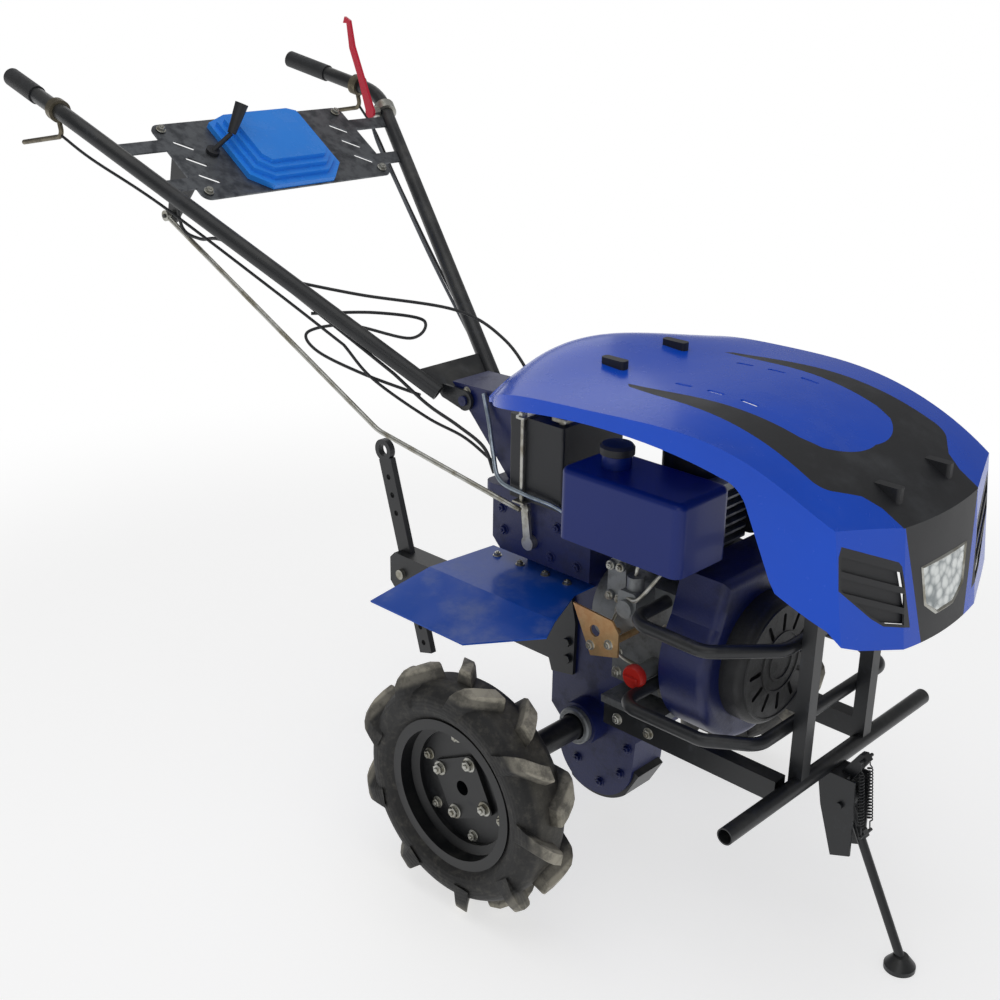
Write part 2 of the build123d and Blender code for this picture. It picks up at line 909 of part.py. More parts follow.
# Handle column
with BuildPart() as column:
    with BuildSketch(side(0)):
        Polygon(
            (column_rear, column_top),
            (column_front, column_top + 7),
            (column_front, battery_bottom),
            (column_foot, battery_bottom),
            align=None,
        )
    extrude(amount=column_half, both=True)
    with BuildSketch(side(0)):
        Polygon(
            (column_rear - 24, column_top - column_sheet),
            (column_front - column_sheet, column_top + 7 - column_sheet),
            (column_front - column_sheet, battery_bottom - 24),
            (column_foot, battery_bottom - 24),
            align=None,
        )
    extrude(amount=column_half - column_sheet, both=True, mode=Mode.SUBTRACT)
    with BuildSketch(level(column_top - 1)):
        with Locations((hood_rear - fit - column_sheet / 2, 0)):
            Rectangle(column_sheet, tab_width)
    extrude(amount=tab_height)
    with BuildSketch(level(column_top - 1)):
        with Locations((column_front, 0)):
            Rectangle(9, tab_width)
    extrude(amount=5)
    with BuildSketch(side(0)):
        with Locations((pivot_x, pivot_z)):
            Circle(pivot_pin_radius)
    extrude(amount=column_half + arm_gap + arm_sheet + 5, both=True)
write(column, "handle_column")

# Handlebar: the plane of both tubes, first coordinate up and back along the machine, second to the left
rise = handle_elbow_z - handle_base_z
run = handle_base_x - handle_elbow_x
handle_plane = Plane(
    origin=point(handle_base_x, 0, handle_base_z),
    x_dir=(-run, 0, rise),
    z_dir=(rise, 0, run),
)
tube_reach = sqrt(rise**2 + run**2)
spread = (handle_elbow_y - handle_base_y) / tube_reach
hand_levers = BuildPart()
for outward, name in ((-1, "right"), (1, "left")):
    base = point(handle_base_x, outward * handle_base_y, handle_base_z)
    elbow = point(handle_elbow_x, outward * handle_elbow_y, handle_elbow_z)
    tip = point(grip_end_x, outward * grip_end_y, grip_end_z)
    grip_start = tip + (elbow - tip).normalized() * grip_length
    handle_tube = bent_bar((base, elbow, tip), handle_bend, handle_radius, handle_radius - 3)
    write(handle_tube, f"handle_tube_{name}")
    grip = bent_bar((grip_start, tip), 0, grip_radius, handle_radius + fit)
    write(grip, f"grip_{name}")
    clamp_middle = elbow + (tip - elbow).normalized() * hand_clamp
    with hand_levers:
        with BuildSketch(Plane(origin=clamp_middle, z_dir=tip - elbow)):
            Circle(handle_radius + 7)
            Circle(handle_radius + fit, mode=Mode.SUBTRACT)
        extrude(amount=10, both=True)
        start = clamp_middle - Vector(0, 0, handle_radius + 4)
        knee = clamp_middle + Vector(8, 0, -50)
        finger = clamp_middle + Vector(-150, 0, -78)
        add(bent_bar((start, knee, finger), 14, 5).part)
write(hand_levers, "hand_levers")


def yoke_inner(reach):
    """Half the width between the tubes' inner sides, a distance up the handle plane."""
    return handle_base_y + spread * reach - (handle_radius + fit) * sqrt(1 + spread**2)


with BuildPart() as yoke:
    with BuildSketch(side(0)):
        with Locations((pivot_x, pivot_z)):
            Circle(20)
        with Locations((handle_base_x, handle_base_z)):
            Circle(14)
        Polygon(
            (pivot_x, pivot_z + 20),
            (handle_base_x, handle_base_z + 14),
            (handle_base_x, handle_base_z - 14),
            (pivot_x, pivot_z - 20),
            align=None,
        )
    extrude(amount=column_half + arm_gap + arm_sheet, both=True)
    with BuildSketch(side(0)):
        with Locations((handle_base_x + 30, handle_base_z)):
            Rectangle(200, 200)
    extrude(amount=column_half + arm_gap, both=True, mode=Mode.SUBTRACT)
    with BuildSketch(side(0)):
        with Locations((pivot_x, pivot_z)):
            Circle(pivot_pin_radius + running)
    extrude(amount=100, both=True, mode=Mode.SUBTRACT)
    with BuildSketch(handle_plane.offset(-4)):
        Polygon(
            (2, yoke_inner(2)),
            (62, yoke_inner(62)),
            (62, -yoke_inner(62)),
            (2, -yoke_inner(2)),
            align=None,
        )
    extrude(amount=8)
write(yoke, "handle_yoke")

with BuildPart() as console:
    with BuildSketch(handle_plane.offset(-console_sheet / 2)):
        with Locations(((console_near + console_far) / 2, 0)):
            RectangleRounded(console_far - console_near, 2 * console_half, 20)
        for outward in (-1, 1):
            for reach in (console_near + 50, console_far - 60):
                Polygon(
                    (reach - 16, outward * (console_half - 10)),
                    (reach + 16, outward * (console_half - 10)),
                    (reach + 16, outward * yoke_inner(reach + 16)),
                    (reach - 16, outward * yoke_inner(reach - 16)),
                    align=None,
                )
        for outward in (-1, 1):
            for reach in slot_places:
                with Locations((reach, outward * (console_half - 45))):
                    SlotOverall(46, 9, rotation=50, mode=Mode.SUBTRACT)
            with Locations((console_near + 20, outward * (console_half - 20))):
                Circle(6, mode=Mode.SUBTRACT)
    extrude(amount=console_sheet)
write(console, "console_plate")

with BuildPart() as cover:
    with BuildSketch(handle_plane.offset(console_sheet / 2)):
        Polygon(
            (585, -80), (585, 80), (625, cover_half), (785, cover_half), (805, 70),
            (805, -70), (785, -cover_half), (625, -cover_half), align=None,
        )
    extrude(amount=12)
    for step in range(3):
        with BuildSketch(handle_plane.offset(console_sheet / 2 + 12 + step * cover_step)):
            Polygon(
                (600 + step * 14, -70), (600 + step * 14, 70),
                (632 + step * 8, 108 - step * 12), (776 - step * 6, 108 - step * 12),
                (794 - step * 10, 64), (794 - step * 10, -64),
                (776 - step * 6, step * 12 - 108), (632 + step * 8, step * 12 - 108),
                align=None,
            )
        extrude(amount=cover_step)
write(cover, "console_cover")

lever_base = handle_plane.from_local_coords((711, 153, console_sheet / 2))
lever_neck = handle_plane.from_local_coords((715, 117, 44))
lever_knob = handle_plane.from_local_coords((742, 92, 96))
with BuildPart() as gear_lever:
    with BuildSketch(handle_plane.offset(console_sheet / 2)):
        with Locations((711, 153)):
            Circle(14)
    extrude(amount=8)
    add(bent_bar((lever_base + handle_plane.z_dir * 5, lever_neck), 0, 5).part)
    with BuildSketch(Plane(origin=lever_neck, z_dir=lever_knob - lever_neck)):
        Circle(9)
    with BuildSketch(Plane(origin=lever_knob, z_dir=lever_knob - lever_neck)):
        Circle(14)
    loft()
write(gear_lever, "gear_lever")

# Clutch lever on its clamp round the left tube
clutch_along = 784
clutch_middle = handle_plane.from_local_coords((clutch_along, -handle_base_y - spread * clutch_along, 0))
left_run = handle_plane.from_local_coords((1000, -handle_base_y - spread * 1000, 0)) - clutch_middle
clutch_x = clutch_middle.X - axle_x
clutch_z = clutch_middle.Z
with BuildPart() as clutch_bracket:
    with BuildSketch(Plane(origin=clutch_middle, z_dir=left_run)):
        Circle(handle_radius + 8)
        Circle(handle_radius + fit, mode=Mode.SUBTRACT)
    extrude(amount=12, both=True)
    with BuildSketch(side(clutch_y + clutch_sheet)):
        with Locations((clutch_x, clutch_z)):
            Circle(12)
    extrude(amount=clutch_y + clutch_sheet - clutch_middle.Y + handle_radius + 8)
write(clutch_bracket, "clutch_bracket")

with BuildPart() as clutch_lever:
    with BuildSketch(side(clutch_y + clutch_sheet)):
        with Locations((clutch_x, clutch_z)):
            Circle(14)
        Polygon(
            (clutch_x + 11, clutch_z + 8), (clutch_x - 24, clutch_z + 84), (clutch_x - 50, clutch_z + 142),
            (clutch_x - 62, clutch_z + 196), (clutch_x - 80, clutch_z + 204), (clutch_x - 86, clutch_z + 190),
            (clutch_x - 74, clutch_z + 190), (clutch_x - 66, clutch_z + 136), (clutch_x - 40, clutch_z + 78),
            (clutch_x - 13, clutch_z + 2), align=None,
        )
    extrude(amount=clutch_sheet)
write(clutch_lever, "clutch_lever")

# Fenders
for outward, name in ((-1, "fender_right"), (1, "fender_left")):
    with BuildPart() as fender:
        with BuildSketch(across(-320)):
            Polygon(
                (outward * fender_inner, fender_z),
                (outward * fender_fold, fender_z),
                (outward * fender_outer, fender_outer_z),
                (outward * fender_outer, fender_outer_z - fender_sheet),
                (outward * fender_fold, fender_z - fender_sheet),
                (outward * fender_inner, fender_z - fender_sheet),
                align=None,
            )
        extrude(amount=420)
        with BuildSketch(level(fender_z - 60)):
            Polygon(
                (-264, outward * (fender_inner - 5)),
                (-290, outward * fender_outer),
                (-48, outward * fender_outer),
                (62, outward * 250),
                (-4, outward * 100),
                (-4, outward * (fender_inner - 5)),
                align=None,
            )
        extrude(amount=80, mode=Mode.INTERSECT)
    write(fender, name)

# Brackets between the leg and the fenders
with BuildPart() as fender_bracket:
    with BuildSketch(side(-leg_half)):
        Polygon(
            (-96, 300), (-112, 345), (-150, 430), (-178, fender_z - fender_sheet),
            (-60, fender_z - fender_sheet), (-40, 420), (-42, 310), align=None,
        )
    extrude(amount=8)
    with BuildSketch(side(-leg_half - 8)):
        with Locations((-57, 376), (-55, 341)):
            RegularPolygon(9, 6)
    extrude(amount=7)
    with BuildSketch(across(-140)):
        Polygon(
            (-leg_half, fender_z - fender_sheet),
            (-fender_fold, fender_z - fender_sheet),
            (6 - fender_outer, fender_outer_z - fender_sheet + 1.2),
            (6 - fender_outer, fender_outer_z - fender_sheet - 6),
            (-fender_fold, fender_z - 26),
            (-leg_half, fender_z - 34),
            align=None,
        )
    extrude(amount=6)
    mirror(about=Plane.XZ)
write(fender_bracket, "fender_brackets")

# Hitch and drag bar
drag_up = Vector(drag_top_x - drag_tip_x, 0, drag_top_z - drag_tip_z).normalized()
drag_plane = Plane(origin=point(drag_tip_x, 0, drag_tip_z), x_dir=(0, 1, 0), z_dir=drag_up)
drag_length = sqrt((drag_top_x - drag_tip_x) ** 2 + (drag_top_z - drag_tip_z) ** 2)
pin_along = (hitch_z - drag_tip_z) / (drag_top_z - drag_tip_z) * drag_length
pin_place = point(drag_tip_x, 0, drag_tip_z) + drag_up * pin_along
with BuildPart() as drag_bar:
    with BuildSketch(drag_plane):
        Rectangle(drag_thick, drag_width)
    extrude(amount=drag_length)
    with BuildSketch(side(drag_thick / 2)):
        with Locations((drag_top_x - 6, drag_top_z + 18)):
            Circle(24)
            Circle(13, mode=Mode.SUBTRACT)
    extrude(amount=drag_thick)
    for along in (24, 60, pin_along, drag_length - 120, drag_length - 80, drag_length - 40):
        hole = point(drag_tip_x, 0, drag_tip_z) + drag_up * along
        with BuildSketch(Plane(origin=hole, z_dir=(0, -1, 0))):
            Circle(drag_pin_radius + fit / 2)
        extrude(amount=drag_thick, both=True, mode=Mode.SUBTRACT)
write(drag_bar, "drag_bar")

with BuildPart() as drag_pin:
    with BuildSketch(Plane(origin=pin_place, z_dir=(0, -1, 0))):
        Circle(drag_pin_radius)
    extrude(amount=34, both=True)
    with BuildSketch(Plane(origin=pin_place + Vector(0, -hitch_half, 0), z_dir=(0, -1, 0))):
        Circle(drag_pin_radius + 5)
    extrude(amount=8)
write(drag_pin, "drag_pin")

with BuildPart() as hitch:
    with BuildSketch(side(0)):
        Polygon((-60, 305), (-80, 388), (-578, 388), (-592, 374), (-592, 319), (-578, 305), align=None)
    extrude(amount=hitch_half, both=True)
    with BuildSketch(drag_plane):
        Rectangle(drag_thick + 2 * fit, drag_width + 2 * fit)
    extrude(amount=drag_length, mode=Mode.SUBTRACT)
    with BuildSketch(level(hitch_z - 60)):
        with Locations((-440, 0)):
            Circle(9)
    extrude(amount=140, mode=Mode.SUBTRACT)
    with BuildSketch(Plane(origin=pin_place, z_dir=(0, -1, 0))):
        Circle(drag_pin_radius + fit / 2)
    extrude(amount=2 * hitch_half, both=True, mode=Mode.SUBTRACT)
    add(gearbox.part, mode=Mode.SUBTRACT)
write(hitch, "hitch")

# Stand
stand_pivot = point(stand_pivot_x, 0, stand_pivot_z)
stand_foot = point(stand_foot_x, 0, foot_height - 6)
spring_top_x = 557
spring_top_z = 366
spring_foot_x = 573
spring_foot_z = 226
with BuildPart() as stand_bracket:
    with BuildSketch(side(0)):
        Polygon((484, 330), (556, 330), (560, 262), (562, 187), (526, 173), (497, 262), align=None)
    extrude(amount=cheek_half, both=True)
    with BuildSketch(side(0)):
        with Locations((stand_pivot_x, stand_pivot_z)):
            Rectangle(400, 400)
    extrude(amount=cheek_half - cheek_sheet, both=True, mode=Mode.SUBTRACT)
    with BuildSketch(side(0)):
        Polygon((484, 330), (538, 330), (538, 314), (488, 314), align=None)
    extrude(amount=cheek_half, both=True)
    with BuildSketch(side(0)):
        Polygon((512, 318), (538, 318), (566, 366), (557, 376), (548, 374), align=None)
    extrude(amount=spring_y - spring_radius - 2, both=True)
    with BuildSketch(side(0)):
        with Locations((spring_top_x, spring_top_z)):
            Circle(spring_pin_radius)
    extrude(amount=spring_y + 6, both=True)
    with BuildSketch(side(0)):
        with Locations((bumper_x, rail_z)):
            Circle(bumper_radius)
    extrude(amount=bumper_half, both=True, mode=Mode.SUBTRACT)
    with BuildSketch(side(0)):
        with Locations((stand_pivot_x, stand_pivot_z)):
            Circle(6)
    extrude(amount=cheek_half + 6, both=True)
write(stand_bracket, "stand_bracket")

with BuildPart() as stand_leg:
    add(bent_bar((stand_pivot, stand_foot), 0, stand_rod_radius).part)
    with BuildSketch(side(0)):
        with Locations((stand_pivot_x, stand_pivot_z)):
            Circle(15)
    extrude(amount=cheek_half - cheek_sheet - stand_gap, both=True)
    with BuildSketch(side(0)):
        with Locations((stand_pivot_x, stand_pivot_z)):
            Circle(6 + running)
    extrude(amount=60, both=True, mode=Mode.SUBTRACT)
    with BuildSketch(side(0)):
        with Locations((spring_foot_x, spring_foot_z)):
            Circle(spring_pin_radius)
        Polygon((550, 240), (566, 214), (578, 222), (572, 234), align=None)
    extrude(amount=stand_rod_radius - 1, both=True)
    with BuildSketch(side(0)):
        with Locations((spring_foot_x, spring_foot_z)):
            Circle(spring_pin_radius)
    extrude(amount=spring_y + 5, both=True)
    with BuildSketch(level(0)):
        with Locations((stand_foot_x, 0)):
            Circle(foot_radius)
    extrude(amount=8)
    with BuildSketch(level(8)):
        with Locations((stand_foot_x, 0)):
            Circle(foot_radius)
    with BuildSketch(level(foot_height)):
        with Locations((stand_foot_x, 0)):
            Circle(13)
    loft()
write(stand_leg, "stand_leg")

# Shift rod from the handlebar to the gearbox lever
rod_top = point(rod_top_x, rod_y, rod_top_z)
rod_knee = point(-482, -150, 720)
rod_eye = point(rod_eye_x, -115, rod_eye_z)
with BuildPart() as shift_rod:
    add(bent_bar((rod_top, rod_knee, rod_eye), 60, rod_radius).part)
    with BuildSketch(side(rod_y)):
        with Locations((rod_top_x, rod_top_z)):
            Circle(11)
            Circle(rod_pin_radius + running, mode=Mode.SUBTRACT)
    extrude(amount=rod_radius, both=True)
    with BuildSketch(side(rod_y)):
        with Locations((rod_top_x, rod_top_z)):
            Circle(rod_pin_radius + running)
    extrude(amount=20, both=True, mode=Mode.SUBTRACT)
write(shift_rod, "shift_rod")

with BuildPart() as shift_bracket:
    with BuildSketch(side(-240)):
        Polygon((-911, 1151), (-985, 1201), (-1013, 1085), (-988, 1067), align=None)
        with Locations((rod_top_x, rod_top_z)):
            Circle(14)
    extrude(amount=6)
    with BuildSketch(side(-246)):
        with Locations((rod_top_x, rod_top_z)):
            Circle(rod_pin_radius)
    extrude(amount=20)
    with BuildSketch(handle_plane.offset(-console_sheet / 2)):
        Rectangle(3000, 3000)
    extrude(amount=100, mode=Mode.SUBTRACT)
write(shift_bracket, "shift_bracket")

with BuildPart() as shift_lever:
    with BuildSketch(side(-block_half)):
        with Locations((gear_shaft_x, gear_shaft_z)):
            Circle(14)
    extrude(amount=14)
    with BuildSketch(side(-block_half - 8)):
        with Locations((gear_shaft_x, gear_shaft_z)):
            Circle(14)
        with Locations((rod_eye_x, rod_eye_z)):
            Circle(10)
        Polygon(
            (gear_shaft_x - 9, gear_shaft_z),
            (gear_shaft_x + 9, gear_shaft_z),
            (rod_eye_x + 8, rod_eye_z),
            (rod_eye_x - 8, rod_eye_z),
            align=None,
        )
    extrude(amount=6)
write(shift_lever, "shift_lever")

# Springs that hold the stand on its stops
with BuildPart() as stand_spring:
    for outward in (-1, 1):
        spring_head = point(spring_top_x, outward * spring_y, spring_top_z - spring_pin_radius - fit)
        spring_foot = point(spring_foot_x, outward * spring_y, spring_foot_z + spring_pin_radius + fit)
        add(bent_bar((spring_head, spring_foot), 0, spring_radius).part)
write(stand_spring, "stand_spring")
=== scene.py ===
"""Looks of a two-wheel walking tractor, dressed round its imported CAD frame.

Lengths are metres in the frame's axes: X points forward, Y to the machine's left and
Z up, with the floor at zero. Places are mostly given from the middle of the axle.
"""
from __future__ import annotations

import json
import logging
import math
from dataclasses import dataclass
from enum import Enum
from typing import Mapping, Sequence, Union

import bmesh
import bpy
from mathutils import Matrix, Vector

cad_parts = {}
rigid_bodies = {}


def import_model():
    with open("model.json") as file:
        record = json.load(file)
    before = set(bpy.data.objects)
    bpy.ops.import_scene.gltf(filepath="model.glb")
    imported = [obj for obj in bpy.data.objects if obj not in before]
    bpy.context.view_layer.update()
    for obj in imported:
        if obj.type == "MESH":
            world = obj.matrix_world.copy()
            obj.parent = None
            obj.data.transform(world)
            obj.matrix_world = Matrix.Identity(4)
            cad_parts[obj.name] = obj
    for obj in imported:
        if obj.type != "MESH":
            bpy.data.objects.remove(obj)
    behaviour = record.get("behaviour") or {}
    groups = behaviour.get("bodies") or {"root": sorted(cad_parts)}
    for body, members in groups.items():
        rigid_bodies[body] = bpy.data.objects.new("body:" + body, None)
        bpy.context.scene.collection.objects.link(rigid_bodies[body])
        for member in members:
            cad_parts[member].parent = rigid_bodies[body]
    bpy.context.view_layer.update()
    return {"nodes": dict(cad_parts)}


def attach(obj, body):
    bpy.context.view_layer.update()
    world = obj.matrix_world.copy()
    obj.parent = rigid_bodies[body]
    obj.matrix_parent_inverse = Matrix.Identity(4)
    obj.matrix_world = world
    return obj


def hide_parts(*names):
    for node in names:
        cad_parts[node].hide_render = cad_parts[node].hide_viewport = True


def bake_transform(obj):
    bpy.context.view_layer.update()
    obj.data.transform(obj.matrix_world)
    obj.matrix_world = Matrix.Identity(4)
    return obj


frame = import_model()
log = logging.getLogger("walking_tractor")

Pair = tuple[float, float]
Point = tuple[float, float, float]
Colour = tuple[float, float, float]
Value = Union["Wire", float]

AXLE = Vector((0.340, 0.0, 0.232))
FORWARD = Vector((1, 0, 0))
UP = Vector((0, 0, 1))


def tone(code: str) -> Colour:
    """A colour as the shaders want it.

    Args:
        code: Six hexadecimal digits, as a paint chart gives them.

    Returns:
        Red, green and blue in linear light.
    """
    shares = (int(code[i : i + 2], 16) / 255 for i in (0, 2, 4))
    return tuple(s / 12.92 if s <= 0.04045 else ((s + 0.055) / 1.055) ** 2.4 for s in shares)


# ---------------------------------------------------------------- shader maths


@dataclass(frozen=True)
class Wire:
    """A value in a material's nodes, with the operators of plain maths.

    Args:
        bench: The nodes that the value belongs to.
        socket: The output that gives it.
    """

    bench: "Bench"
    socket: bpy.types.NodeSocket

    def _with(self, operation: str, *values: Value) -> "Wire":
        """The result of one Math node on the given values."""
        return self.bench.node("ShaderNodeMath", {"operation": operation}, dict(enumerate(values)))

    def __add__(self, other: Value) -> "Wire":
        """Sum."""
        return self._with("ADD", self, other)

    __radd__ = __add__

    def __sub__(self, other: Value) -> "Wire":
        """Difference."""
        return self._with("SUBTRACT", self, other)

    def __mul__(self, other: Value) -> "Wire":
        """Product."""
        return self._with("MULTIPLY", self, other)

    __rmul__ = __mul__

    def __pow__(self, other: Value) -> "Wire":
        """Power."""
        return self._with("POWER", self, other)

    def sine(self) -> "Wire":
        """Sine of the value in radians."""
        return self._with("SINE", self)

    def most(self, other: Value) -> "Wire":
        """The larger of two values."""
        return self._with("MAXIMUM", self, other)

    def step(self, low: float, high: float) -> "Wire":
        """A smooth rise from 0 to 1.

        Args:
            low: Where the rise starts.
            high: Where it ends, which may be below low.

        Returns:
            The share of the rise.
        """
        return self.bench.node(
            "ShaderNodeMapRange",
            {"interpolation_type": "SMOOTHSTEP"},
            {"Value": self, "From Min": low, "From Max": high},
        )


class Bench:
    """The nodes of one material, made step by step."""

    def __init__(self, name: str) -> None:
        """Start a material with an empty tree.

        Args:
            name: The material's name.
        """
        self.material = bpy.data.materials.new(name)
        self.material.use_nodes = True
        self.tree = self.material.node_tree
        self.tree.nodes.clear()

    def node(
        self,
        kind: str,
        settings: Mapping[str, object] | None = None,
        values: Mapping[Union[int, str], object] | None = None,
        output: Union[int, str] = 0,
    ) -> Wire:
        """Add one node.

        Args:
            kind: The node's type.
            settings: Its properties, set before its sockets.
            values: Numbers, colours or wires for its inputs, by name or place.
            output: The output to hand back, by name or place.

        Returns:
            The chosen output.
        """
        made = self.tree.nodes.new(kind)
        for name, setting in (settings or {}).items():
            setattr(made, name, setting)
        for key, value in (values or {}).items():
            if isinstance(value, Wire):
                self.tree.links.new(value.socket, made.inputs[key])
            else:
                made.inputs[key].default_value = value
        return Wire(self, made.outputs[output])

    def place(self) -> Wire:
        """The point on the object, in metres."""
        return self.node("ShaderNodeTexCoord", output="Object")

    def facing(self) -> tuple[Wire, Wire, Wire]:
        """Which way the surface faces, in the object's own axes."""
        return self.parts(self.node("ShaderNodeTexCoord", output="Normal"))

    def parts(self, vector: Wire) -> tuple[Wire, Wire, Wire]:
        """The three numbers of a vector."""
        split = self.node("ShaderNodeSeparateXYZ", values={0: vector}).socket.node
        return tuple(Wire(self, out) for out in split.outputs)

    def noise(self, scale: float, detail: float = 2.0, rough: float = 0.5) -> Wire:
        """Cloudy noise from 0 to 1.

        Args:
            scale: Clouds to the metre.
            detail: How many finer layers are added.
            rough: How strong the finer layers are.

        Returns:
            The noise's value.
        """
        return self.node(
            "ShaderNodeTexNoise",
            values={
                "Vector": self.place(),
                "Scale": scale,
                "Detail": detail,
                "Roughness": rough,
            },
        )

    def cells(self, scale: float) -> Wire:
        """Distance to the nearest of many scattered points.

        Args:
            scale: Points to the metre.

        Returns:
            The distance.
        """
        return self.node(
            "ShaderNodeTexVoronoi",
            values={"Vector": self.place(), "Scale": scale},
            output="Distance",
        )

    def blend(self, first: object, second: object, share: Value) -> Wire:
        """Mix two colours.

        Args:
            first: The colour at share 0.
            second: The colour at share 1.
            share: How much of the second shows.

        Returns:
            The mixed colour.
        """
        rgba = [c if isinstance(c, Wire) else (*c, 1.0) for c in (first, second)]
        return self.node(
            "ShaderNodeMix",
            {"data_type": "RGBA"},
            {0: share, 6: rgba[0], 7: rgba[1]},
            2,
        )

    def bump(self, height: Wire, strength: float, depth: float, base: Wire | None = None) -> Wire:
        """Turn a height into a bent normal.

        Args:
            height: The height, from 0 to 1.
            strength: How much of it shows.
            depth: How far 1 stands out, in metres.
            base: A normal that it comes on top of.

        Returns:
            The normal.
        """
        values = {"Height": height, "Strength": strength, "Distance": depth}
        if base is not None:
            values["Normal"] = base
        return self.node("ShaderNodeBump", values=values)

    def dust(self, amount: float) -> Wire:
        """Where dust settles: on what faces up, in loose clouds."""
        up = self.facing()[2].step(0.2, 1.0)
        return up * self.noise(9.0, 5.0, 0.65).step(0.42, 0.78) * amount

    def close(self, **sockets: object) -> bpy.types.Material:
        """Finish with the shader.

        Args:
            sockets: Values or wires for the shader's inputs, with _ for each space.

        Returns:
            The material.
        """
        values = {}
        for name, value in sockets.items():
            words = " ".join(w if w == "IOR" else w.capitalize() for w in name.split("_"))
            values[words] = (*value, 1.0) if isinstance(value, tuple) and len(value) == 3 else value
        return self.end(self.node("ShaderNodeBsdfPrincipled", values=values))

    def end(self, shader: Wire) -> bpy.types.Material:
        """Lead a shader to the material's surface."""
        output = self.tree.nodes.new("ShaderNodeOutputMaterial")
        self.tree.links.new(shader.socket, output.inputs["Surface"])
        return self.material


# -------------------------------------------------------------------- finishes


@dataclass(frozen=True)
class Finish:
    """A finish that many pieces share.

    Args:
        name: The material's name.
        colour: Its main colour.
        roughness: How matt it is, from 0 to 1.
    """

    name: str
    colour: Colour
    roughness: float

    def material(self) -> bpy.types.Material:
        """The material, made at its first use and kept."""
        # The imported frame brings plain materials, some of them under the same names
        own = f"{self.name}_finish"
        return bpy.data.materials.get(own) or self.make(Bench(own))

    def make(self, bench: Bench) -> bpy.types.Material:
        """Build the material's nodes.

        Args:
            bench: An empty bench.

        Returns:
            The finished material.
        """
        raise NotImplementedError


@dataclass(frozen=True)
class GlossPaint(Finish):
    """Sprayed enamel under a clear coat, with orange peel and a little dust.

    Args:
        shade: The colour of its darker clouds.
        dust: How much dust lies on what faces up.
    """

    shade: Colour = (0.0, 0.0, 0.0)
    dust: float = 0.18

    def make(self, bench: Bench) -> bpy.types.Material:
        """Build the material's nodes."""
        clouds = bench.noise(3.5, 3.0, 0.5).step(0.35, 0.75)
        body = bench.blend(self.colour, self.shade, clouds * 0.45)
        dusty = bench.dust(self.dust)
        scuffs = bench.noise(55.0, 6.0, 0.7).step(0.62, 0.72)
        return bench.close(
            base_color=bench.blend(body, tone("9FA6B0"), dusty),
            roughness=self.roughness + scuffs * 0.10 + dusty * 0.5,
            normal=bench.bump(bench.noise(420.0, 1.0), 0.10, 0.0006),
            specular_IOR_level=0.22,
            coat_weight=0.16,
            coat_roughness=0.09,
        )


@dataclass(frozen=True)
class SatinPaint(Finish):
    """Brushed-on or powder paint with a fine grain, rubbed paler in places.

    Args:
        rubbed: The colour where it is rubbed.
        grain: Grains to the metre.
    """

    rubbed: Colour = (0.05, 0.05, 0.055)
    grain: float = 700.0

    def make(self, bench: Bench) -> bpy.types.Material:
        """Build the material's nodes."""
        worn = bench.noise(24.0, 6.0, 0.7).step(0.55, 0.74)
        dusty = bench.dust(0.22)
        return bench.close(
            base_color=bench.blend(bench.blend(self.colour, self.rubbed, worn), tone("8C8A84"), dusty),
            roughness=self.roughness + worn * 0.14 + dusty * 0.4,
            normal=bench.bump(bench.noise(self.grain, 2.0), 0.22, 0.0005),
        )


@dataclass(frozen=True)
class Casting(Finish):
    """Sand-cast metal, bare or painted, with a pitted skin.

    Args:
        metal: How metallic it is, from 0 to 1.
        stain: The colour of its oily and dirty hollows.
    """

    metal: float = 0.0
    stain: Colour = (0.01, 0.01, 0.012)

    def make(self, bench: Bench) -> bpy.types.Material:
        """Build the material's nodes."""
        grime = bench.noise(16.0, 6.0, 0.72).step(0.46, 0.70)
        pits = bench.noise(260.0, 4.0, 0.6)
        return bench.close(
            base_color=bench.blend(self.colour, self.stain, grime * 0.6),
            metallic=self.metal,
            roughness=self.roughness + grime * 0.18,
            normal=bench.bump(pits, 0.35, 0.0012),
        )


@dataclass(frozen=True)
class Plating(Finish):
    """Zinc plating, cloudy and slightly rainbowed.

    Args:
        sheen: The tint of its clouds.
    """

    sheen: Colour = (0.5, 0.45, 0.35)

    def make(self, bench: Bench) -> bpy.types.Material:
        """Build the material's nodes."""
        clouds = bench.noise(38.0, 4.0, 0.6).step(0.38, 0.68)
        scratches = bench.noise(700.0, 2.0, 0.6)
        return bench.close(
            base_color=bench.blend(self.colour, self.sheen, clouds),
            metallic=0.9,
            roughness=self.roughness + clouds * 0.15,
            normal=bench.bump(scratches, 0.12, 0.0004),
        )


@dataclass(frozen=True)
class Moulding(Finish):
    """Grained plastic.

    Args:
        grain: Grains to the metre.
        dust: How much dust lies on what faces up.
    """

    grain: float = 900.0
    dust: float = 0.16

    def make(self, bench: Bench) -> bpy.types.Material:
        """Build the material's nodes."""
        dusty = bench.dust(self.dust)
        mottle = bench.noise(14.0, 4.0, 0.6)
        return bench.close(
            base_color=bench.blend(self.colour, tone("7E8288"), dusty + mottle * 0.03),
            roughness=self.roughness + mottle * 0.1,
            normal=bench.bump(bench.cells(self.grain), 0.25, 0.0006),
        )


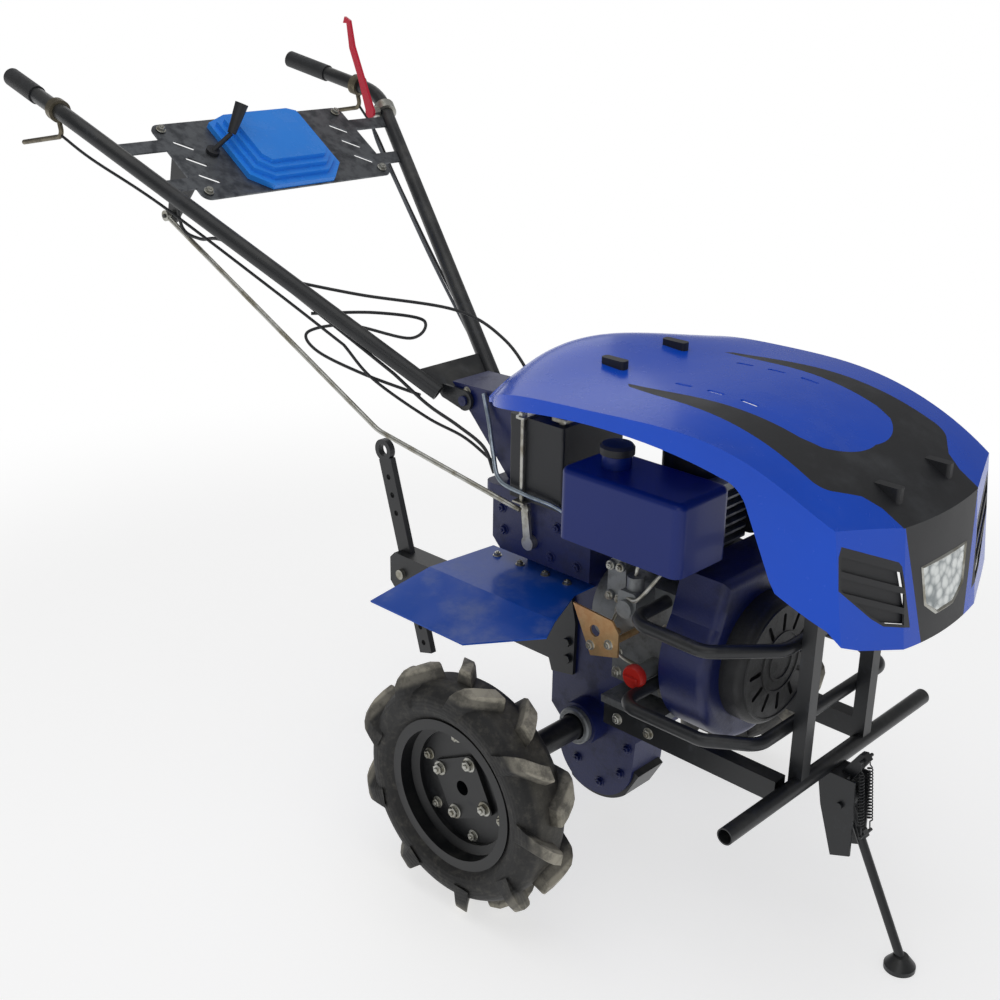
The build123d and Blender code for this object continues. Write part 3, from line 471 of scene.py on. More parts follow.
@dataclass(frozen=True)
class FarmRubber(Finish):
    """Tyre rubber with dry soil on its lug faces and moulded rings on its sides.

    Args:
        soil: The colour of the dry soil.
        lug_foot: Distance from the axle where the lugs start.
        lug_top: Distance from the axle of the lugs' faces.
    """

    soil: Colour = (0.2, 0.18, 0.15)
    lug_foot: float = 0.217
    lug_top: float = 0.230

    def make(self, bench: Bench) -> bpy.types.Material:
        """Build the material's nodes."""
        x, _, z = bench.parts(bench.place())
        ahead, above = x - AXLE.x, z - AXLE.z
        reach = (ahead * ahead + above * above) ** 0.5
        faces = reach.step(self.lug_foot, self.lug_top).most(reach.step(0.2, 0.212) * 0.45)
        patches = bench.noise(26.0, 6.0, 0.7).step(0.36, 0.62)
        film = bench.noise(60.0, 6.0, 0.7).step(0.45, 0.8) * 0.14
        soiled = faces * (patches * 0.65 + 0.35) + film
        rings = (reach * 900.0).sine() * reach.step(0.205, 0.195) * 0.5 + 0.5
        grain = bench.noise(380.0, 4.0, 0.6)
        return bench.close(
            base_color=bench.blend(self.colour, self.soil, soiled),
            roughness=self.roughness + soiled * 0.2,
            normal=bench.bump(grain, 0.3, 0.0012, bench.bump(rings, 0.25, 0.0012)),
        )


@dataclass(frozen=True)
class LampGlass(Finish):
    """A lamp face with a faceted reflector's shape in its bumps and painted reflections in its colour,
    pale with darker cells.
    """

    def make(self, bench: Bench) -> bpy.types.Material:
        """Build the material's nodes."""
        facet_shape_and_reflections = bench.cells(62.0)
        # Painted reflection: the darker cells paint the facets of a chrome reflector behind clear glass,
        # while the bump gives their real shape.
        return bench.close(
            base_color=bench.blend(self.colour, tone("5F6B6E"), facet_shape_and_reflections.step(0.25, 0.8)),
            metallic=0.35,
            roughness=self.roughness,
            normal=bench.bump(facet_shape_and_reflections, 0.5, 0.004),
            coat_weight=1.0,
            coat_roughness=0.04,
        )


HOOD_BLUE = GlossPaint("hood_blue", tone("034ED0"), 0.26, tone("0340B0"), dust=0.06)
PANEL_BLUE = GlossPaint("panel_blue", tone("0D4DB4"), 0.30, tone("0B3F96"), dust=0.35)
TANK_BLUE = GlossPaint("tank_blue", tone("0C2470"), 0.34, tone("0A1C58"), dust=0.0)
BODY_BLUE = Casting("body_blue", tone("0B1850"), 0.36, 0.0, tone("080D26"))
FRAME_BLACK = SatinPaint("frame_black", tone("1A1C1F"), 0.36, tone("2E3136"))
RIM_BLACK = SatinPaint("rim_black", tone("0B0D10"), 0.34, tone("16191E"))
PLASTIC_BLACK = Moulding("plastic_black", tone("17181C"), 0.46)
GRIP_BLACK = Moulding("grip_black", tone("1B1C1E"), 0.5, grain=1500.0)
BATTERY_BLACK = Moulding("battery_black", tone("15171B"), 0.42)
ENGINE_GREY = Casting("engine_grey", tone("7B7E80"), 0.42, 0.55, tone("2A2928"))
ENGINE_BLACK = Casting("engine_black", tone("1C1D1F"), 0.45, 0.1, tone("0B0B0B"))
SILVER_ZINC = Plating("silver_zinc", tone("B4B4AE"), 0.3, tone("8E8A7C"))
YELLOW_ZINC = Plating("yellow_zinc", tone("E2BD8C"), 0.36, tone("CFA071"))
DULL_ZINC = Plating("dull_zinc", tone("77705F"), 0.4, tone("5A5448"))
CONSOLE_STEEL = Plating("console_steel", tone("6E7175"), 0.38, tone("4A4C50"))
LEVER_RED = GlossPaint("lever_red", tone("C9203A"), 0.32, tone("9E1830"))
TYRE_RUBBER = FarmRubber("tyre_rubber", tone("151515"), 0.62, tone("A39E90"), 0.216, 0.226)
LAMP_CLEAR = LampGlass("lamp_clear", tone("D5DAD8"), 0.12)
CAP_RED = GlossPaint("cap_red", tone("B8241C"), 0.4, tone("8E1A14"))
CABLE_BLACK = Moulding("cable_black", tone("16181B"), 0.44, grain=1800.0, dust=0.05)
CABLE_GREY = Moulding("cable_grey", tone("5C6066"), 0.44, grain=1800.0, dust=0.05)
CABLE_SILVER = Plating("cable_silver", tone("A9B4BE"), 0.32, tone("7E8A94"))
COVER_BLUE = GlossPaint("cover_blue", tone("2E8CF0"), 0.26, tone("2379E0"), dust=0.1)


DRESS: dict[str, Finish] = {
    node: finish
    for finish, nodes in (
        (ENGINE_BLACK, "air_filter muffler recoil_starter"),
        (BATTERY_BLACK, "battery"),
        (SILVER_ZINC, "battery_hold_down clutch_bracket drag_pin shift_lever shift_rod"),
        (BODY_BLUE, "battery_tray cooling_shroud gearbox handle_column"),
        (
            FRAME_BLACK,
            "bumper_bar drag_bar fender_brackets frame_cross frame_rail_left frame_rail_right "
            "front_post_left front_post_right guard_lower guard_upper handle_tube_left "
            "handle_tube_right handle_yoke hitch leg_cover shift_bracket stand_bracket stand_leg "
            "stand_spring",
        ),
        (LEVER_RED, "clutch_lever"),
        (COVER_BLUE, "console_cover"),
        (CONSOLE_STEEL, "console_plate"),
        (ENGINE_GREY, "crankcase cylinder gear_cover injection_pump"),
        (PANEL_BLUE, "fender_left fender_right"),
        (TANK_BLUE, "fuel_tank"),
        (PLASTIC_BLACK, "gear_lever hood_clips hood_inlay nose_panel side_grilles"),
        (GRIP_BLACK, "grip_left grip_right"),
        (DULL_ZINC, "hand_levers"),
        (LAMP_CLEAR, "headlamp"),
        (HOOD_BLUE, "hood"),
        (RIM_BLACK, "hub_left hub_right rim_left rim_right"),
        (YELLOW_ZINC, "speed_plate"),
        (TYRE_RUBBER, "tyre_left tyre_right"),
    )
    for node in nodes.split()
}


def dress() -> None:
    """Give every CAD node its finish."""
    for name, piece in frame["nodes"].items():
        finish = DRESS[name]
        piece.data.materials.clear()
        piece.data.materials.append(finish.material())
        log.info("%s carries %s", name, finish.name)


# ---------------------------------------------------------------------- shapes


def at(x: float, y: float, z: float) -> Vector:
    """A point given in metres ahead of the axle, to the left, and above the floor."""
    return Vector((AXLE.x + x, y, z))


def frame_of(middle: Vector, out: Vector, lead: Vector) -> Matrix:
    """Axes with Z along a direction and X near another.

    Args:
        middle: Where the axes start.
        out: The way of Z.
        lead: The way that X leans to.

    Returns:
        The axes as a matrix.
    """
    z = out.normalized()
    y = z.cross(lead).normalized()
    return Matrix.Translation(middle) @ Matrix((y.cross(z), y, z)).transposed().to_4x4()


class Form:
    """The points and faces of one piece while it is built."""

    def __init__(self) -> None:
        """Start with nothing."""
        self.points: list[Vector] = []
        self.faces: list[tuple[int, ...]] = []

    def skin(self, rows: Sequence[Sequence[Vector]], looped: bool = False) -> "Form":
        """Join closed rows of points into a closed skin.

        Args:
            rows: Rows of equal length, in order.
            looped: Whether the last row joins the first, else both ends are capped.

        Returns:
            The form itself.
        """
        start = len(self.points)
        wide = len(rows[0])
        for row in rows:
            self.points.extend(row)
        for i in range(len(rows) if looped else len(rows) - 1):
            here, there = start + i * wide, start + (i + 1) % len(rows) * wide
            for j in range(wide):
                k = (j + 1) % wide
                self.faces.append((here + j, here + k, there + k, there + j))
        if not looped:
            last = start + (len(rows) - 1) * wide
            self.faces.append(tuple(start + j for j in reversed(range(wide))))
            self.faces.append(tuple(last + j for j in range(wide)))
        return self

    def turned(self, axes: Matrix, profile: Sequence[Pair], steps: int, looped: bool = False) -> "Form":
        """Turn a profile round an axis.

        Args:
            axes: The axes, whose Z is turned round.
            profile: Pairs of radius and height.
            steps: Points round the axis.
            looped: Whether the profile is closed, as a ring's is.

        Returns:
            The form itself.
        """
        rows = [
            [
                axes @ Vector((r * math.cos(math.tau * j / steps), r * math.sin(math.tau * j / steps), h))
                for j in range(steps)
            ]
            for r, h in profile
        ]
        return self.skin(rows, looped)

    def tube(self, path: Sequence[Vector], radius: float, sides: int = 14) -> "Form":
        """Lead a round section along a path.

        Args:
            path: Points of the centre line.
            radius: Radius of the section.
            sides: Points round the section.

        Returns:
            The form itself.
        """
        rows = []
        lean = Vector((0.31, 0.22, 0.93))
        for i, middle in enumerate(path):
            way = (path[min(i + 1, len(path) - 1)] - path[max(i - 1, 0)]).normalized()
            across = way.cross(lean).normalized()
            lean = across.cross(way)
            ring = (math.tau * j / sides for j in range(sides))
            rows.append([middle + (across * math.cos(a) + lean * math.sin(a)) * radius for a in ring])
        return self.skin(rows)

    def slab(self, axes: Matrix, outline: Sequence[Pair], depth: float, bevel: float) -> "Form":
        """Raise an outline into a slab with broken edges.

        Args:
            axes: The axes, whose Z the slab rises along.
            outline: Corners of the outline round its middle.
            depth: Height of the slab.
            bevel: How much its upper edges are broken.

        Returns:
            The form itself.
        """
        rows = []
        for height, inset in ((0.0, 0.0), (depth - bevel, 0.0), (depth, bevel)):
            row = []
            for u, v in outline:
                reach = math.hypot(u, v) or 1.0
                row.append(axes @ Vector((u - u / reach * inset, v - v / reach * inset, height)))
            rows.append(row)
        return self.skin(rows)

    def data(self, name: str, crease: float = 38.0) -> bpy.types.Mesh:
        """The mesh, with its faces outward and its curves smooth.

        Args:
            name: The mesh's name.
            crease: Angle in degrees above which an edge stays sharp.

        Returns:
            The mesh.
        """
        made = bpy.data.meshes.new(name)
        made.from_pydata(self.points, [], self.faces)
        outward(made)
        made.shade_smooth()
        made.set_sharp_from_angle(angle=math.radians(crease))
        return made


def outward(made: bpy.types.Mesh) -> None:
    """Merge doubled points and turn every face outward."""
    work = bmesh.new()
    work.from_mesh(made)
    bmesh.ops.remove_doubles(work, verts=work.verts, dist=1e-6)
    bmesh.ops.recalc_face_normals(work, faces=work.faces)
    work.to_mesh(made)
    work.free()


def put(name: str, made: bpy.types.Mesh, finish: Finish, body: str) -> bpy.types.Object:
    """Show a mesh as a piece that moves with a body.

    Args:
        name: The piece's name.
        made: Its mesh, in place.
        finish: Its finish.
        body: The CAD body that carries it.

    Returns:
        The piece.
    """
    made.materials.clear()
    made.materials.append(finish.material())
    piece = bpy.data.objects.new(name, made)
    bpy.context.scene.collection.objects.link(piece)
    if body:
        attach(piece, body)
    log.info("%s made with %d faces", name, len(made.polygons))
    return piece


@dataclass(frozen=True)
class Spot:
    """One place for a repeated part.

    Args:
        place: The point where it stands.
        out: The way it points.
        lead: The way its first axis leans to.
    """

    place: Vector
    out: Vector
    lead: Vector = Vector((0.3, 0.2, 0.93))


class Repeat:
    """Geometry Nodes that set one part on many spots."""

    def __init__(self) -> None:
        """Build the node group once."""
        self.group = bpy.data.node_groups.new("set_on_spots", "GeometryNodeTree")
        face = self.group.interface
        face.new_socket("Geometry", in_out="OUTPUT", socket_type="NodeSocketGeometry")
        self.ids = {
            name: face.new_socket(name, in_out="INPUT", socket_type=kind).identifier
            for name, kind in (
                ("Spots", "NodeSocketGeometry"),
                ("Part", "NodeSocketObject"),
                ("Twist", "NodeSocketFloat"),
                ("Seed", "NodeSocketInt"),
                ("Finish", "NodeSocketMaterial"),
            )
        }
        entry = self.group.nodes.new("NodeGroupInput").outputs
        out = self._node("FunctionNodeAxesToRotation", {"primary_axis": "Z", "secondary_axis": "X"})
        for socket, name in ((out.inputs[0], "out"), (out.inputs[1], "lead")):
            read = self._node("GeometryNodeInputNamedAttribute", {"data_type": "FLOAT_VECTOR"}, Name=name)
            self._join(read.outputs["Attribute"], socket)
        chance = self._node("FunctionNodeRandomValue", {"data_type": "FLOAT"})
        self._join(entry["Twist"], chance.inputs[3])
        self._join(entry["Seed"], chance.inputs["Seed"])
        spin = self._node("FunctionNodeAxisAngleToRotation")
        self._join(chance.outputs[1], spin.inputs["Angle"])
        turn = self._node("FunctionNodeRotateRotation", {"rotation_space": "LOCAL"})
        self._join(out.outputs[0], turn.inputs[0])
        self._join(spin.outputs[0], turn.inputs[1])
        part = self._node("GeometryNodeObjectInfo")
        self._join(entry["Part"], part.inputs["Object"])
        copies = self._node("GeometryNodeInstanceOnPoints")
        self._join(entry["Spots"], copies.inputs["Points"])
        self._join(part.outputs["Geometry"], copies.inputs["Instance"])
        self._join(turn.outputs[0], copies.inputs["Rotation"])
        real = self._node("GeometryNodeRealizeInstances")
        self._join(copies.outputs[0], real.inputs[0])
        coat = self._node("GeometryNodeSetMaterial")
        self._join(real.outputs[0], coat.inputs["Geometry"])
        self._join(entry["Finish"], coat.inputs["Material"])
        self._join(coat.outputs[0], self.group.nodes.new("NodeGroupOutput").inputs[0])

    def _node(
        self, kind: str, settings: Mapping[str, object] | None = None, **values: object
    ) -> bpy.types.Node:
        """Add one node with its settings and input values."""
        made = self.group.nodes.new(kind)
        for name, value in (settings or {}).items():
            setattr(made, name, value)
        for name, value in values.items():
            made.inputs[name].default_value = value
        return made

    def _join(self, source: bpy.types.NodeSocket, target: bpy.types.NodeSocket) -> None:
        """Link two sockets."""
        self.group.links.new(source, target)

    def mesh(
        self, name: str, part: bpy.types.Mesh, spots: Sequence[Spot], finish: Finish, twist: float = 0.0
    ) -> bpy.types.Mesh:
        """Set a part on spots and hand back the plain mesh.

        Args:
            name: The mesh's name.
            part: The part, standing at the origin along Z.
            spots: Where copies stand.
            finish: The finish of every copy.
            twist: Largest chance turn about their own axis, in radians.

        Returns:
            The mesh of all copies.
        """
        points = bpy.data.meshes.new(f"{name}_spots")
        points.from_pydata([spot.place for spot in spots], [], [])
        for key in ("out", "lead"):
            numbers = [n for spot in spots for n in getattr(spot, key).normalized()]
            points.attributes.new(key, "FLOAT_VECTOR", "POINT").data.foreach_set("vector", numbers)
        pattern = bpy.data.objects.new(f"{name}_part", part)
        holder = bpy.data.objects.new(f"{name}_holder", points)
        for made in (pattern, holder):
            bpy.context.scene.collection.objects.link(made)
        nodes = holder.modifiers.new("repeat", "NODES")
        nodes.node_group = self.group
        chosen = {"Part": pattern, "Twist": twist, "Seed": 7, "Finish": finish.material()}
        for key, value in chosen.items():
            nodes[self.ids[key]] = value
        bpy.context.view_layer.update()
        seen = holder.evaluated_get(bpy.context.evaluated_depsgraph_get())
        result = bpy.data.meshes.new_from_object(seen)
        result.name = name
        for key in ("out", "lead"):
            if key in result.attributes:
                result.attributes.remove(result.attributes[key])
        for made in (holder, pattern):
            bpy.data.objects.remove(made)
        return result


REPEAT = Repeat()


def hex_bolt(radius: float = 0.008) -> bpy.types.Mesh:
    """A hexagon head on its washer with the thread's end above it.

    Args:
        radius: Half the width across the head's corners.

    Returns:
        The bolt's mesh, standing on its washer.
    """
    form = Form()
    plain = Matrix.Identity(4)
    for sides, profile in (
        (24, ((1.32, 0.0), (1.32, 0.16), (1.22, 0.22))),
        (6, ((1.0, 0.2), (1.0, 0.82), (0.86, 0.98))),
        (14, ((0.42, 0.9), (0.42, 1.2), (0.34, 1.3))),
    ):
        form.turned(plain, [(r * radius, h * radius) for r, h in profile], sides)
    return form.data("bolt", 25.0)


def bolts(name: str, body: str, spots: Sequence[Spot], finish: Finish, radius: float = 0.008) -> None:
    """Set bolts of one kind on a body.

    Args:
        name: The piece's name.
        body: The CAD body that carries them.
        spots: Where they stand.
        finish: Their finish.
        radius: Half the width across a head's corners.
    """
    put(name, REPEAT.mesh(name, hex_bolt(radius), spots, finish, twist=math.tau), finish, body)


def oblong(along: float, across: float, back: float = 0.0) -> tuple[Pair, ...]:
    """Corners of a rectangle.

    Args:
        along: Its reach ahead of the middle.
        across: Its reach to each side.
        back: Its reach behind the middle, or none for as much as ahead.

    Returns:
        The corners in turn.
    """
    rear = -(back or along)
    return ((rear, -across), (along, -across), (along, across), (rear, across))


def soft_path(points: Sequence[Vector], steps: int = 10) -> list[Vector]:
    """Points of a smooth line through the given ones.

    Args:
        points: Points that the line passes.
        steps: Points in each stretch.

    Returns:
        The line's points.
    """
    ends = [points[0] * 2 - points[1], *points, points[-1] * 2 - points[-2]]
    line = []
    for a, b, c, d in zip(ends, ends[1:], ends[2:], ends[3:]):
        for i in range(steps):
            t = i / steps
            square, cube = a * 2 - b * 5 + c * 4 - d, b * 3 - a - c * 3 + d
            line.append((b * 2 + (c - a) * t + square * t * t + cube * t**3) / 2)
    return [*line, points[-1]]


# ----------------------------------------------------------------- sub-assemblies


class Side(Enum):
    """Which side of the machine a piece is on, as the sign of Y."""

    RIGHT = -1
    LEFT = 1

    @property
    def word(self) -> str:
        """The side's name in a piece's name."""
        return self.name.lower()


@dataclass(frozen=True)
class Wheel:
    """A farm tyre with its lugs, and the bolts of its rim and hub.

    Args:
        middle: Distance of the wheel's middle plane from the machine's.
        tread: Radius of the carcass under the lugs.
        half: Half the width of the tyre.
        bead: Radius at the rim's flange.
        bead_half: Half the width at the rim's flange.
        bore: Radius of the tyre's inner edge, inside the rim.
        lugs: Lugs on each half of the tread.
        face: Radius over the lugs.
        rim_bolts: Radius of the circle of rim bolts.
        hub_bolts: Radius of the circle of hub bolts.
    """

    middle: float = 0.384
    tread: float = 0.2045
    half: float = 0.055
    bead: float = 0.1423
    bead_half: float = 0.0376
    bore: float = 0.1273
    lugs: int = 9
    face: float = 0.2318
    rim_bolts: float = 0.095
    hub_bolts: float = 0.058

    def axes(self, side: Side) -> Matrix:
        """The wheel's own axes, with Z away from the machine."""
        return frame_of(at(0.0, side.value * self.middle, AXLE.z), Vector((0, side.value, 0)), FORWARD)

    def carcass(self, axes: Matrix) -> bpy.types.Mesh:
        """The tyre without its lugs."""
        flank = [(self.bead, self.bead_half), (self.bead + 0.006, self.bead_half + 0.0045)]
        for i in range(9):
            bend = math.radians(-52 + i * 15.5)
            out = self.half - 0.0195 + 0.0175 * math.cos(bend)
            flank.append((0.172 + 0.026 * math.sin(bend), out))
        flank += [(self.tread - 0.0015, self.half - 0.025), (self.tread, self.half - 0.031)]
        inner, outer = (self.bore, -self.bead_half), (self.bore, self.bead_half)
        profile = [inner, *[(r, -h) for r, h in flank], *reversed(flank), outer]
        return Form().turned(axes, profile, 120, looped=True).data("carcass", 50.0)

    def lug(self, hand: int) -> bpy.types.Mesh:
        """One tapered bar of the tread, with X away from the axle.

        Args:
            hand: 1 or -1, the way its outer end trails.

        Returns:
            The lug's mesh.
        """
        rows = []
        for reach, trail, top, foot in (
            (-0.0035, 0.0, self.face - 0.002, 0.208),
            (-0.0015, 0.0, self.face, 0.208),
            (0.014, 0.010, self.face, 0.208),
            (0.030, 0.023, self.face - 0.002, 0.204),
            (0.040, 0.032, self.face - 0.006, 0.198),
            (0.049, 0.039, self.face - 0.016, 0.186),
            (0.0545, 0.0435, self.face - 0.027, 0.175),
            (0.0565, 0.045, self.face - 0.042, 0.172),
        ):
            section = (
                (foot - 0.008, -0.0185),
                (top - 0.003, -0.0138),
                (top, -0.0118),
                (top, 0.0118),
                (top - 0.003, 0.0138),
                (foot - 0.008, 0.0185),
            )
            rows.append([Vector((r, (trail + across) * hand, reach)) for r, across in section])
        return Form().skin(rows).data("lug", 28.0)

    def build(self, side: Side) -> None:
        """Make one wheel's tyre and bolts.

        Args:
            side: The wheel's side.
        """
        body = f"wheel_{side.word}"
        axes = self.axes(side)
        middle, out = axes.translation, axes.col[2].to_3d()
        tyre = put(f"tyre_carcass_{side.word}", self.carcass(axes), TYRE_RUBBER, body)
        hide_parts(f"tyre_{side.word}")
        for half in (1, -1):
            spots = []
            for i in range(self.lugs):
                turn = math.radians(-90 + (i + (half < 0) * 0.5) * 360 / self.lugs)
                spots.append(Spot(middle, out * half, Vector((math.cos(turn), 0, math.sin(turn)))))
            # Both halves of the tread trail the same way round, whichever way their Z points
            hand = -side.value * half
            name = f"tyre_lugs_{side.word}_{'outer' if half > 0 else 'inner'}"
            put(name, REPEAT.mesh(name, self.lug(hand), spots, TYRE_RUBBER), TYRE_RUBBER, body)
        for name, count, first, radius, out_by, size in (
            ("rim", 6, 43, self.rim_bolts, 0.0, 0.0085),
            ("hub", 4, 73, self.hub_bolts, 0.008, 0.0105),
        ):
            spots = []
            for i in range(count):
                turn = math.radians(first + i * 360 / count)
                step = Vector((radius * math.cos(turn), 0, radius * math.sin(turn)))
                spots.append(Spot(middle + step + out * out_by, out, FORWARD))
            bolts(f"{name}_bolts_{side.word}", body, spots, SILVER_ZINC, size)


@dataclass(frozen=True)
class StandSprings:
    """The two coil springs that hold the stand.

    Args:
        top: Where they hook in above, for the left one.
        foot: Where they hook in below.
        radius: Radius of the coils.
        wire: Radius of their wire.
        turns: Number of coils.
        hook: Length of the straight hook at each end.
        round_points: Points in each coil.
    """

    top: Point = (0.557, 0.0145, 0.363)
    foot: Point = (0.573, 0.0145, 0.229)
    radius: float = 0.0044
    wire: float = 0.0012
    turns: int = 17
    hook: float = 0.018
    round_points: int = 14

    def build(self) -> None:
        """Make both springs, stretched between the frame and the stand."""
        form = Form()
        for side in Side:
            start = at(self.top[0], side.value * self.top[1], self.top[2])
            end = at(self.foot[0], side.value * self.foot[1], self.foot[2])
            axes = frame_of(start, end - start, FORWARD)
            long = (end - start).length
            path = [axes @ Vector((0, 0, 0.002 * i)) for i in range(8)]
            steps = self.turns * self.round_points
            for i in range(steps + 1):
                turn = math.tau * i / self.round_points
                rise = self.hook + (long - self.hook * 2) * i / steps
                coil = Vector((self.radius * math.cos(turn), self.radius * math.sin(turn), rise))
                path.append(axes @ coil)
            path += [axes @ Vector((0, 0, long - 0.014 + 0.002 * i)) for i in range(8)]
            form.tube(path, self.wire, 7)
        springs = put("stand_coils", form.data("stand_coils"), FRAME_BLACK, "")
        at(*self.top)
        at(*self.foot)
        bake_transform(springs)
        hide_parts("stand_spring")


@dataclass(frozen=True)
class EngineTrim:
    """Caps, pipes and rings on the engine.

    Args:
        tank_neck: Middle of the top of the tank's neck.
        filler: Middle of the oil filler's end.
        pipes: Points of each fuel pipe.
        pipe: Radius of the pipes.
        starter: Middle of the starter's front.
        rings: Inner radius of each ring on the starter's front.
    """

    tank_neck: Point = (0.104, -0.131, 0.820)
    filler: Point = (0.206, -0.176, 0.455)
    pipes: tuple[tuple[Point, ...], ...] = (
        ((0.176, -0.155, 0.626), (0.180, -0.150, 0.646), (0.196, -0.120, 0.655), (0.206, -0.080, 0.650)),
        ((0.176, -0.175, 0.590), (0.205, -0.185, 0.600), (0.232, -0.176, 0.640), (0.240, -0.150, 0.668)),
        ((0.150, -0.162, 0.560), (0.140, -0.170, 0.520), (0.150, -0.160, 0.470), (0.190, -0.130, 0.440)),
    )
    pipe: float = 0.0035
    starter: Point = (0.378, 0.0, 0.480)
    rings: tuple[float, ...] = (0.030, 0.052, 0.102)

    def build(self) -> None:
        """Make all of it."""
        self.caps()
        pipes = Form()
        for route in self.pipes:
            pipes.tube(soft_path([at(*p) for p in route]), self.pipe)
        put("fuel_pipes", pipes.data("fuel_pipes"), SILVER_ZINC, "chassis")
        grid = Form()
        axes = frame_of(at(*self.starter), FORWARD, UP)
        for r in self.rings:
            profile = ((r, -0.001), (r + 0.001, 0.0018), (r + 0.005, 0.0018), (r + 0.006, -0.001))
            grid.turned(axes, profile, 72, looped=True)
        put("starter_rings", grid.data("starter_rings"), ENGINE_BLACK, "chassis")

    def caps(self) -> None:
        """Make the caps of the oil filler and of the tank."""
        cap = frame_of(at(*self.filler), Vector((0, -1, 0)), FORWARD)
        profile = ((0.0205, 0.0), (0.0215, 0.003), (0.0215, 0.012), (0.019, 0.0155), (0.006, 0.016))
        knob = Form().turned(cap, profile, 36)
        knob.slab(cap @ Matrix.Translation((0, 0, 0.014)), oblong(0.014, 0.003), 0.007, 0.001)
        put("oil_cap", knob.data("oil_cap"), CAP_RED, "chassis")
        neck = frame_of(at(*self.tank_neck), UP, FORWARD)
        profile = ((0.025, 0.0), (0.030, 0.002), (0.030, 0.014), (0.026, 0.019), (0.008, 0.021))
        lid = Form().turned(neck, profile, 40)
        put("tank_cap", lid.data("tank_cap"), PLASTIC_BLACK, "chassis")


@dataclass(frozen=True)
class Cable:
    """A sheathed cable held along its route.

    Args:
        name: The piece's name.
        route: Points that it passes, from the axle.
        body: The body it is held on, or none where it crosses the handlebar's pivot.
        radius: Radius of its sheath.
        finish: Its finish.
    """

    name: str
    route: tuple[Point, ...]
    body: str = ""
    radius: float = 0.0034
    finish: Finish = CABLE_BLACK

    def build(self) -> None:
        """Make the cable."""
        line = soft_path([at(*p) for p in self.route], 12)
        made = Form().tube(line, self.radius).data(self.name)
        cable = put(self.name, made, self.finish, self.body)
        if not self.body:
            at(-0.47, 0, 0.83)
            at(-0.27, 0, 0.76)
            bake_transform(cable)


@dataclass(frozen=True)
class BoltRow:
    """Bolts of one kind on a flank of the machine.

    Args:
        name: The piece's name, before the side's.
        reach: Distance of their seat from the middle plane.
        places: Distances ahead of the axle, and heights.
        finish: Their finish.
        radius: Half the width across a head's corners.
        upward: Whether they point up, else they point outward.
    """

    name: str
    reach: float
    places: tuple[Pair, ...]
    finish: Finish = SILVER_ZINC
    radius: float = 0.008
    upward: bool = False

    def build(self, side: Side, name: str) -> None:
        """Set the bolts.

        Args:
            side: The flank that carries them.
            name: The piece's whole name.
        """
        out = UP if self.upward else Vector((0, side.value, 0))
        spots = [Spot(at(x, side.value * self.reach, z), out) for x, z in self.places]
        bolts(name, "chassis", spots, self.finish, self.radius)


@dataclass(frozen=True)
class Fastenings:
    """Bolts of the whole machine, and the flanges round its axle.

    Args:
        both: Rows that both flanks carry.
        right: Rows on the open side of the engine.
    """

    both: tuple[BoltRow, ...] = (
        BoltRow("box_bolts", 0.090, (
            (-0.200, 0.622), (-0.194, 0.579), (-0.074, 0.560), (-0.010, 0.560),
            (-0.010, 0.622), (-0.060, 0.622),
        ), BODY_BLUE),
        BoltRow("leg_bolts", 0.045, (
            (-0.050, 0.190), (-0.028, 0.130), (0.030, 0.100), (0.078, 0.140),
            (0.092, 0.200), (0.112, 0.270),
        ), BODY_BLUE),
        BoltRow("fender_bolts", 0.075, (
            (-0.225, 0.510), (-0.165, 0.510), (-0.100, 0.510), (-0.045, 0.510),
        ), radius=0.007, upward=True),
        BoltRow("rail_bolts", 0.152, ((0.150, 0.3355), (0.220, 0.3355))),
        BoltRow("column_bolts", 0.050, (
            (-0.200, 0.700), (-0.190, 0.800), (-0.335, 0.812),
        ), radius=0.007),
    )
    right: tuple[BoltRow, ...] = (
        BoltRow("case_bolts", 0.125, (
            (0.122, 0.530), (0.122, 0.450), (0.122, 0.410), (0.226, 0.530),
            (0.226, 0.410), (0.170, 0.402),
        )),
        BoltRow("cover_bolts", 0.157, (
            (0.121, 0.571), (0.121, 0.628), (0.142, 0.630), (0.142, 0.571),
        ), radius=0.006),
        BoltRow("plate_bolts", 0.200, ((0.160, 0.505), (0.120, 0.490)), radius=0.007),
    )

    def console(self, side: Side) -> None:
        """Set the bolts of the console's plate on one side."""
        way, rise = Vector((-0.8297, 0.0, 0.5583)), Vector((0.5583, 0.0, 0.8297))
        foot = at(-0.388, side.value * 0.230, 0.802)
        spots = [Spot(foot + way * u + rise * 0.004, rise) for u in (0.603, 0.790)]
        bolts(f"console_bolts_{side.word}", "handlebar", spots, SILVER_ZINC)

    def flange(self, side: Side) -> None:
        """Make the flange round the axle on one side."""
        ring = frame_of(at(0.0, side.value * 0.084, AXLE.z), Vector((0, side.value, 0)), FORWARD)
        profile = ((0.027, 0.0), (0.037, 0.0), (0.037, 0.009), (0.034, 0.012), (0.027, 0.012))
        made = Form().turned(ring, profile, 48, looped=True).data("axle_flange")
        put(f"axle_flange_{side.word}", made, ENGINE_GREY, "chassis")

    def build(self) -> None:
        """Set them all."""
        for row in self.right:
            row.build(Side.RIGHT, row.name)
        for side in Side:
            for row in self.both:
                row.build(side, f"{row.name}_{side.word}")
            self.console(side)
            self.flange(side)


